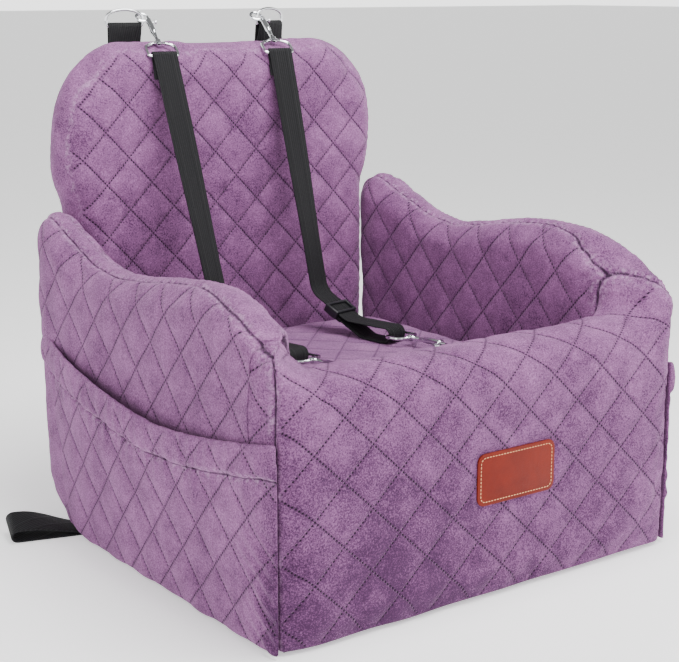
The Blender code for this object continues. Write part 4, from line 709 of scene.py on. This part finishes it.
def build_backrest():
    """The back's cover, a little fuller on its left side, as in the photograph."""
    piece = cover_base("backrest_foam", "backrest_velvet")
    level_crest(piece)
    points = points_of(piece)
    left = soften(0.0, 0.12, -points[:, 0])
    points[:, 0] -= left * (0.003 + 0.007 * hill(points[:, 2], 0.330, 0.050))
    move_points(piece, points)
    fill_cover(piece, points[:, 2] < 0.008)
    refine(piece)
    points = points_of(piece)
    facing = np.abs(normals_of(piece)[:, 1])
    crumple(piece, 0.0010, 22, 31.0)
    off_middle = np.abs(points[:, 1] - BACK_MIDDLE)
    rim = np.where(facing < 0.97, np.abs(off_middle - BACK_RIM), 1.0)
    along = points[:, 2] + np.abs(points[:, 0])
    pucker(piece, rim, along, 0.0006, reach=0.005, period=0.010, seed=13.0)
    strength = soften(BACK_RIM, BACK_RIM + 0.004, off_middle)
    mark_seam(piece, rim + 0.0025)
    one, two = (points[:, 0] + 0.0015) / BACK_DIAMOND[0], (points[:, 2] - 0.4369) / BACK_DIAMOND[1]
    quilt(piece, one, two, strength, LOFT)
    finish_cover(piece, "backrest_cover", velvet)


build_backrest()

# %% [markdown]
# ## Seat cushion
# The loose cushion lies inside the walls. Its quilting is flatter because a dog's weight has
# pressed it, and its pile is less mottled.

# %% Seat cushion cover
CUSHION_FOOT, CUSHION_TOP = 0.1141, 0.1702
NO_SEAM = 0.05


def build_cushion():
    """The cushion's cover. Its top stays under the straps that lie on it."""
    piece = cover_base("seat_cushion_foam", "seat_cushion_velvet", grow=0.0040)
    keep_above(piece, CUSHION_FOOT)
    fill_cover(piece, points_of(piece)[:, 2] < 0.135, frames=8, slack=0.0)
    points = points_of(piece)
    points[:, 2] = np.minimum(points[:, 2], CUSHION_TOP)
    move_points(piece, points)
    refine(piece)
    points = points_of(piece)
    upward = soften(0.5, 0.9, normals_of(piece)[:, 2])
    mark_seam(piece, np.full(len(points), NO_SEAM))
    quilt(piece, points[:, 0] / BACK_DIAMOND[0], points[:, 1] / BACK_DIAMOND[1], upward, 0.0010)
    finish_cover(piece, "seat_cushion_cover", velvet_seat)


build_cushion()

# %% [markdown]
# ## Side pockets
# A pocket is one padded panel sewn to the arm at its front, rear and foot. An elastic in the
# hem draws the top edge in, so the hem stands off the arm and gathers into upright folds, most
# of all at the line of stitching that closes the hem.

# %% Pockets
HEM = 0.0315
GATHER_PERIOD, WRINKLE_PERIOD = 0.0155, 0.017


def build_pocket(name, side):
    """A pocket panel: gathered hem, quilted front, and slanting wrinkles low at the front."""
    piece = clean_copy(f"{name}_pocket", f"{name}_pocket_velvet")
    remesh(piece, 0.0016)
    smooth_out(piece, 12)
    points = points_of(piece)
    across, depth, height = points.T
    below = edge_over(points, pocket_points[name]) - height
    outward = soften(0.0, 0.5, normals_of(piece)[:, 0] * side)
    gather = hill(below, HEM, 0.020) + 0.6 * hill(below, 0, 0.012)
    uneven = wander(points, 16, 41.0 + side)
    wave = np.sin(2 * np.pi * depth / GATHER_PERIOD + 5 * uneven) * (0.7 + 0.5 * uneven)
    groove = hill(below, HEM, 0.0022)
    lift = 0.0007 * gather * wave - 0.0022 * groove
    lift += 0.0014 * np.sin(np.pi * np.clip(below / HEM, 0, 1)) ** 0.6 * (below < HEM)
    across += side * (lift * outward - 0.006 * soften(0.10, 0.19, depth))
    front = soften(0.200, 0.2265, -depth)
    depth -= 0.0038 * front
    across -= side * 0.0025 * front ** 2
    height -= 0.006 * (1 - soften(0.010, 0.050, height))
    move_points(piece, points)
    calm = soften(0.0, 0.010, below) * outward
    mark_seam(piece, np.where(outward > 0.5, np.abs(below - HEM), NO_SEAM))
    crumple(piece, 0.0012, 22, 51.0 + side, outward)
    slant = height - 0.75 * depth
    low_front = hill(depth, -0.212, 0.028) * (1 - soften(0.05, 0.15, height))
    bent = wander(points, 20, 61.0 + side)
    wrinkle = np.sin(2 * np.pi * slant / WRINKLE_PERIOD + 3 * bent) * (0.5 + bent)
    push(piece, 0.0017 * wrinkle * low_front * outward)
    quilt(piece, (depth - ARM_CROSSING[0]) / ARM_DIAMOND[0],
          (height - ARM_CROSSING[1]) / ARM_DIAMOND[1], calm, 0.0014)
    finish_cover(piece, f"{name}_pocket", velvet)


build_pocket("left", -1)
build_pocket("right", 1)

# %% [markdown]
# ## Webbing
# The straps are polyester webbing 25 mm wide and 1.8 mm thick. It is woven in ribs that run
# across a tight weft, with two thicker ribs along it. A strap is modelled as a ribbon that
# follows its route, with rounded edges, and stores where each point lies across and along it,
# so that the weave follows every bend.

# %% Webbing material
YARN_HALF, RIB_HALF, THICK_RIB = 1.1, 0.7, 6.5


def make_webbing(name, dark, light):
    """Black polyester webbing, woven on a narrow loom and dyed. Sizes are in mm."""
    material, tree, shader = start_material(
        name, 0.66, sheen_weight=0.03, sheen_roughness=0.4, specular_ior_level=0.25)
    weave = add(tree, "Attribute", attribute_name="weave").outputs["Vector"]
    axes = add(tree, "SeparateXYZ", {0: weave}).outputs
    across = times(tree, axes[0], 1000.0)
    along = times(tree, axes[1], 1000.0)
    yarn = calculate(tree, "PINGPONG", across, YARN_HALF)
    twist = calculate(tree, "ADD", along, times(tree, yarn, 0.8))
    rib = calculate(tree, "PINGPONG", twist, RIB_HALF)
    woven = times(tree, times(tree, rib, 1.43), times(tree, yarn, 0.91))
    off_rib = calculate(tree, "SUBTRACT", calculate(tree, "ABSOLUTE", across), THICK_RIB)
    raised = fade(tree, calculate(tree, "ABSOLUTE", off_rib), 0.6, 1.6, True)
    set_colour(tree, shader, times(tree, woven, 0.75), dark, light)
    set_bump(tree, shader, calculate(tree, "MULTIPLY_ADD", raised, 0.8, woven), 0.0005)
    return material


webbing_black = make_webbing("black_woven_polyester_webbing", "#0A0A0C", "#232427")
print("webbing material:", webbing_black.name)

# %% [markdown]
# A strap's route is a short list of corners, each with its own radius. Rounding them gives a
# smooth line at a fine step. The ribbon's width turns slowly between the hook above and the
# slope below, as real webbing twists.

# %% Rounded routes and ribbons
WEBBING_WIDTH, WEBBING_THICKNESS = 0.025, 0.0018
SEAT_ANGLE, TWIST = 12, 24.5


def tether_side(place):
    """The direction of the strap's width, which turns between the hook and the slope."""
    share = soften(0.238, 0.417, place.z)
    angle = math.radians(SEAT_ANGLE - TWIST * float(share))
    return Vector((math.cos(angle), math.sin(angle), 0))


def rounded_route(corners, step=0.0025):
    """Points along straight runs joined by arcs. A corner is x, y, z and radius in mm."""
    places = [Vector(c[:3]) / 1000 for c in corners]
    made = [places[0]]
    for before, here, after, corner in zip(places, places[1:], places[2:], corners[1:]):
        back, ahead = (before - here).normalized(), (after - here).normalized()
        half = math.acos(max(-1, min(1, back.dot(ahead)))) / 2
        radius = corner[3] / 1000
        shorter = min((before - here).length, (after - here).length)
        cut = min(radius / math.tan(half), shorter * 0.49)
        radius = cut * math.tan(half)
        middle = here + (back + ahead).normalized() * (radius / math.sin(half))
        start, end = here + back * cut - middle, here + ahead * cut - middle
        turn = start.angle(end)
        steps = max(2, round(turn / math.radians(9)))
        for i in range(steps + 1):
            share = i / steps
            arm = start * math.sin((1 - share) * turn) + end * math.sin(share * turn)
            made.append(middle + arm / math.sin(turn))
    made.append(places[-1])
    fine = [made[0]]
    for one, two in zip(made, made[1:]):
        parts = max(1, round((two - one).length / step))
        fine += [one.lerp(two, i / parts) for i in range(1, parts + 1)]
    return fine


def ribbon(name, route):
    """A strap of webbing with rounded edges, swept along a route."""
    outline = []
    half, bead = WEBBING_WIDTH / 2, WEBBING_THICKNESS / 2
    for i in range(5):
        angle = -math.pi / 2 + math.pi * i / 4
        outline.append((half - bead + bead * math.cos(angle), bead * math.sin(angle)))
    outline += [(x, bead) for x in (half / 2, 0, -half / 2)]
    outline += [(-x, -y) for x, y in outline[:5]]
    outline += [(x, -bead) for x in (-half / 2, 0, half / 2)]
    vertices, weave, travelled = [], [], 0.0
    for i, place in enumerate(route):
        if i:
            travelled += (place - route[i - 1]).length
        forward = (route[min(i + 1, len(route) - 1)] - route[max(i - 1, 0)]).normalized()
        side = tether_side(place)
        side = (side - forward * side.dot(forward)).normalized()
        face = side.cross(forward)
        for x, y in outline:
            vertices.append(place + side * x + face * y)
            weave.append((x, travelled, 0.0))
    count = len(outline)
    faces = []
    for row in range(0, len(vertices) - count, count):
        for j in range(count):
            following = (j + 1) % count
            faces.append((row + j, row + following, row + count + following, row + count + j))
    faces += [tuple(range(count)), tuple(range(len(vertices) - 1, len(vertices) - count - 1, -1))]
    mesh = bpy.data.meshes.new(name)
    mesh.from_pydata([tuple(v) for v in vertices], [], faces)
    piece = put_in_scene(name, mesh)
    store_vectors(piece, "weave", weave)
    dress(piece, webbing_black, "shell")
    print(name, "length in mm:", round(travelled * 1000))
    return piece


def dress(piece, material, body):
    """Gives a piece its material, smooth shading, outward normals and body."""
    select_only(piece)
    bpy.ops.object.mode_set(mode="EDIT")
    bpy.ops.mesh.select_all(action="SELECT")
    bpy.ops.mesh.normals_make_consistent(inside=False)
    bpy.ops.object.mode_set(mode="OBJECT")
    set_material(piece, material)
    bpy.ops.object.shade_smooth_by_angle(angle=math.radians(40))
    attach(piece, body)


print("ribbon helper ready")

# %% [markdown]
# ## Tethers
# Each strap is folded round the eye of its upper hook and sewn to itself, drops to the seat,
# turns forwards, runs through the lower hook's eye and comes back to the slider, where its end
# is folded round the middle bar.

# %% Straps
STITCHES_ACROSS, LAP_STITCH = 7, 0.0033
left_corners = [(-86.1, 167.6, 435.0, 0), (-85.4, 170.7, 446.5, 25), (-83.9, 177.7, 461.3, 3.2),
                (-85.4, 171.2, 461.3, 3.2), (-68.8, 101.2, 211.0, 20), (-58.7, 52.7, 186.8, 30),
                (-46.5, -4.7, 186.8, 7.4), (-46.5, -4.7, 171.8, 7.4), (-54.4, 32.9, 171.8, 20),
                (-60.3, 60.1, 185.4, 0)]
right_corners = [(52.7, 169.2, 434.5, 0), (53.2, 171.5, 446.3, 25), (54.5, 177.6, 461.3, 3.2),
                 (53.2, 172.0, 461.3, 3.2), (65.6, 119.8, 211.0, 20), (75.6, 72.3, 186.8, 30),
                 (87.8, 14.9, 186.8, 7.4), (87.8, 14.9, 171.8, 7.4), (79.9, 52.4, 171.8, 20),
                 (74.0, 79.7, 185.4, 0)]
lap_stitches = []
for name, corners in (("left", left_corners), ("right", right_corners)):
    strap = ribbon(f"{name}_tether", rounded_route(corners))
    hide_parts(f"{name}_tether_webbing")
    top, knee = Vector(corners[3][:3]) / 1000, Vector(corners[4][:3]) / 1000
    down = (knee - top).normalized()
    side = tether_side(top)
    face = side.cross(down).normalized()
    for drop in (0.0125, 0.0235):
        for i in range(STITCHES_ACROSS):
            aside = (i - STITCHES_ACROSS // 2) * LAP_STITCH
            place = top + down * drop + side * aside + face * 0.0011
            lap_stitches.append((place, side, face))
print("stitches across the laps:", len(lap_stitches))

# %% [markdown]
# ## Chrome and plastic hardware
# The snap hooks are cast in zinc and plated with chrome, and the D-rings are bent from plated
# steel rod. Their CAD forms are exact, so a merged copy is given the finish, and the rings are
# rounded by one level of subdivision. Chrome on a casting shows faint waves and fine scratches.

# %% Finishes for hardware


def make_chrome(name, tint, roughness, wave):
    """Polished plating: a mirror with faint waves and a roughness that varies a little."""
    material, tree, shader = start_material(name, roughness, 1.0)
    place = add(tree, "TexCoord").outputs["Object"]
    set_colour(tree, shader, noise(tree, place, 90.0, 2.0), "#F2F3F5", tint)
    rough = add(tree, "MapRange", {0: noise(tree, place, 260.0, 3.0), 1: 0.3, 2: 0.7,
                                   3: roughness * 0.8, 4: roughness * 1.6}).outputs[0]
    tree.links.new(rough, shader.inputs["Roughness"])
    set_bump(tree, shader, noise(tree, place, 140.0, 1.0), wave)
    return material


def make_plain(name, colour, second, roughness, scale, depth):
    """A material whose colour and relief vary with noise of one scale."""
    material, tree, shader = start_material(name, roughness)
    place = add(tree, "TexCoord").outputs["Object"]
    grain = noise(tree, place, scale, 3.0, 0.6)
    set_colour(tree, shader, grain, colour, second)
    set_bump(tree, shader, grain, depth)
    return material


chrome = make_chrome("chrome_plated_zinc_casting", "#B4B6BA", 0.10, 0.00008)
ring_steel = make_chrome("chrome_plated_steel_rod", "#BABCC0", 0.08, 0.00003)
spring_steel = make_chrome("bare_spring_steel_wire", "#A9ABB0", 0.25, 0.00002)
black_nylon = make_plain("black_moulded_nylon", "#101114", "#1D1E22", 0.42, 900.0, 0.00004)
foam_white = make_plain("open_cell_polyurethane_foam", "#D9D2BF", "#EFE9DA", 0.95, 900.0, 0.0006)
base_black = make_plain("black_nonslip_dotted_cloth", "#17161A", "#2B2A30", 0.8, 500.0, 0.0003)
lining_dark = make_plain("dark_lining_glued_over_foam", "#35223B", "#4A3151", 0.9, 600.0, 0.0003)
zip_tape_cloth = make_plain("woven_zip_tape_with_teeth", "#5E3F66", "#7B5584", 0.75, 700.0, 0.0003)
zip_metal = make_chrome("painted_zinc_zip_slider", "#8C8E95", 0.3, 0.00004)
print("hardware finishes ready")

# %% Rings, hooks, sliders and springs


def quad_copy(node, name, material, body, hard_angle=None):
    """A merged copy of a CAD node in quads, rounder by one level unless it has hard edges."""
    piece = clean_copy(node, name)
    bpy.ops.object.mode_set(mode="EDIT")
    bpy.ops.mesh.select_all(action="SELECT")
    bpy.ops.mesh.tris_convert_to_quads(
        face_threshold=math.radians(25), shape_threshold=math.radians(50))
    bpy.ops.object.mode_set(mode="OBJECT")
    if not hard_angle:
        refine(piece)
    dress(piece, material, body)
    if hard_angle:
        bpy.ops.object.shade_smooth_by_angle(angle=math.radians(hard_angle))
    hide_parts(node)


def bevelled_copy(node, name, material, body, width):
    """A merged copy of a CAD node with small round edges."""
    piece = clean_copy(node, name)
    merge_flat(piece, 1)
    bevel_edges(piece, width)
    dress(piece, material, body)
    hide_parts(node)


for name in ("left", "right"):
    quad_copy(f"{name}_ring", f"{name}_d_ring", ring_steel, f"{name}_ring")
    for hook in (f"{name}_upper", f"{name}_lower"):
        quad_copy(f"{hook}_hook_body", f"{hook}_snap_body", chrome, f"{hook}_snap", 50)
        quad_copy(f"{hook}_thumb_bolt", f"{hook}_snap_bolt", chrome, f"{hook}_bolt", 40)
        eye_body = f"{name}_lower_eye" if hook.endswith("lower") else "shell"
        quad_copy(f"{hook}_swivel_eye", f"{hook}_snap_eye", chrome, eye_body, 50)
        set_material(nodes[f"{hook}_bolt_spring"], spring_steel)
    bevelled_copy(f"{name}_slider", f"{name}_triglide", black_nylon, f"{name}_slider", 0.0006)
print("hardware placed")

# %% [markdown]
# ## Tabs, folds and the belt loop
# A short loop of the same webbing holds each D-ring. The strap's end fold and the belt loop are
# webbing too. Each piece stores its own directions across and along its weave.

# %% Webbing pieces taken from the CAD


def webbing_copy(node, name, body, across, along):
    """A merged copy with soft edges, which stores its place across and along the weave."""
    piece = clean_copy(node, name)
    merge_flat(piece, 0.5)
    bevel_edges(piece, 0.0005)
    points = points_of(piece)
    points -= (points.min(axis=0) + points.max(axis=0)) / 2
    store_vectors(piece, "weave", np.stack(
        [points @ np.array(across), points @ np.array(along), np.zeros(len(points))], axis=1))
    dress(piece, webbing_black, body)
    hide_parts(node)


for name, lean in (("left", -1), ("right", 1)):
    turn = math.radians(9.5) * lean
    webbing_copy(f"{name}_ring_tab", f"{name}_ring_loop", "shell",
                 (math.cos(turn), 0, math.sin(turn)), (-math.sin(turn), 0, math.cos(turn)))
    webbing_copy(f"{name}_tether_end_fold", f"{name}_strap_end", f"{name}_slider",
                 (0.978, 0.208, 0), (-0.187, 0.879, 0.438))
webbing_copy("belt_loop", "floor_belt_loop", "shell", (0.26, -0.966, 0), (-0.966, -0.26, 0))
print("webbing pieces placed")

# %% [markdown]
# ## Leather label
# The label is a patch of orange-brown leather about 90 by 47 mm with round corners, sewn on
# with pale thread close to its edge. It is left bare. Veg-tanned leather shows fine pores and
# pressed grain, and its cut edge is a little darker and rounded; here the edge is only rounded.

# %% Label and its stitches
LABEL_WIDTH, LABEL_HEIGHT, STITCH_INSET = 0.090, 0.047, 0.0035


def make_leather(name, colour, second):
    """Vegetable-tanned leather with fine pores, embossed grain and an uneven orange tone."""
    material, tree, shader = start_material(name, 0.5, specular_ior_level=0.2)
    place = add(tree, "TexCoord").outputs["Object"]
    cells = add(tree, "TexVoronoi", {"Vector": place, "Scale": 1100.0}).outputs["Distance"]
    set_colour(tree, shader, noise(tree, place, 45.0, 4.0, 0.6), colour, second)
    grain = times(tree, noise(tree, place, 300.0, 2.0), 0.8)
    set_bump(tree, shader, calculate(tree, "ADD", cells, grain), 0.00012)
    return material


leather = make_leather("orange_brown_grained_leather", "#520A00", "#7E1C00")
thread_pale = make_plain("waxed_polyester_thread_pale", "#C98A58", "#E2B184", 0.6, 3000.0, 0.00005)
bevelled_copy("leather_label", "bare_leather_label", leather, "shell", 0.0004)
low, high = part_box("leather_label")


def rounded_rectangle(width, height, corner, step):
    """Evenly spaced points and headings round a rectangle with round corners."""
    line = []
    for cx, cz, start in ((1, 1, 0), (-1, 1, 90), (-1, -1, 180), (1, -1, 270)):
        for i in range(13):
            angle = math.radians(start + 7.5 * i)
            line.append(Vector((cx * (width / 2 - corner) + corner * math.cos(angle), 0,
                                cz * (height / 2 - corner) + corner * math.sin(angle))))
    line.append(line[0])
    lengths = [(b - a).length for a, b in zip(line, line[1:])]
    total = sum(lengths)
    count = round(total / step)
    made, travelled, i = [], 0.0, 0
    for k in range(count):
        target = total * k / count
        while travelled + lengths[i] < target:
            travelled += lengths[i]
            i += 1
        share = (target - travelled) / lengths[i]
        made.append((line[i].lerp(line[i + 1], share), (line[i + 1] - line[i]).normalized()))
    return made


def sew(name, stitches, radius, length, material):
    """Short beads of thread, one for each stitch, joined into one piece."""
    beads = []
    bpy.ops.object.select_all(action="DESELECT")
    for place, heading, outward in stitches:
        bpy.ops.mesh.primitive_uv_sphere_add(segments=8, ring_count=6, radius=1, location=(0, 0, 0))
        bead = bpy.context.object
        depth = outward.cross(heading).normalized()
        rows = Matrix((depth * radius, outward * radius * 0.7, heading * length / 2)).transposed()
        bead.data.transform(Matrix.Translation(place) @ rows.to_4x4())
        beads.append(bead)
    select_only(*beads)
    bpy.ops.object.join()
    piece = bpy.context.object
    piece.name = name
    dress(piece, material, "shell")
    print(name, "stitches:", len(stitches))


centre = (low + high) / 2
centre.y = low.y - 0.00005
border = rounded_rectangle(LABEL_WIDTH - 2 * STITCH_INSET, LABEL_HEIGHT - 2 * STITCH_INSET,
                           0.0055, 0.0033)
border = [(centre + place, heading, Vector((0, -1, 0))) for place, heading in border]
sew("label_border_thread", border, 0.00045, 0.0024, thread_pale)
thread_black = make_plain("bonded_nylon_thread_black", "#050506", "#141416", 0.5, 3000.0, 0.00005)
sew("strap_lap_thread", lap_stitches, 0.0005, 0.0028, thread_black)

# %% [markdown]
# ## Hidden pieces
# The foam, the underside and the zip are covered or turned away, but they are real, so each has
# its finish. The foam blocks sit inside the covers and are not seen. Only the base block shows
# from behind, so it has a dark lining.

# %% Foam blocks inside the covers
FOAM_INSET, FOAM_LIFT = 0.0030, 0.004
for place in ("front_wall", "left_arm", "right_arm", "backrest", "seat_cushion"):
    block = cover_base(f"{place}_foam", f"{place}_filling", grow=-FOAM_INSET, smooth=4)
    dress(block, foam_white, "shell")
    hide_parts(f"{place}_foam")
    keep_above(block, points_of(block)[:, 2].min() + FOAM_LIFT)
    print(block.name, "faces:", len(block.data.polygons))

# %% Finishes for the remaining CAD nodes
NARROWER, SHORTER, REAR_END = 0.955, 0.965, 0.218
underside = clean_copy("base_cloth", "nonslip_underside")
under_points = points_of(underside)
under_points[:, 0] *= NARROWER
under_points[:, 1] = np.minimum(under_points[:, 1] * SHORTER, REAR_END)
move_points(underside, under_points)
bevel_edges(underside, 0.0008)
dress(underside, base_black, "shell")
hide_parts("base_cloth")
plain_finish = {"zip_tape": zip_tape_cloth, "zip_slider": zip_metal,
                "zip_pull": zip_metal, "seat_base_foam": lining_dark}
for name, material in plain_finish.items():
    set_material(nodes[name], material)
print("dressed CAD nodes:", sorted(plain_finish))
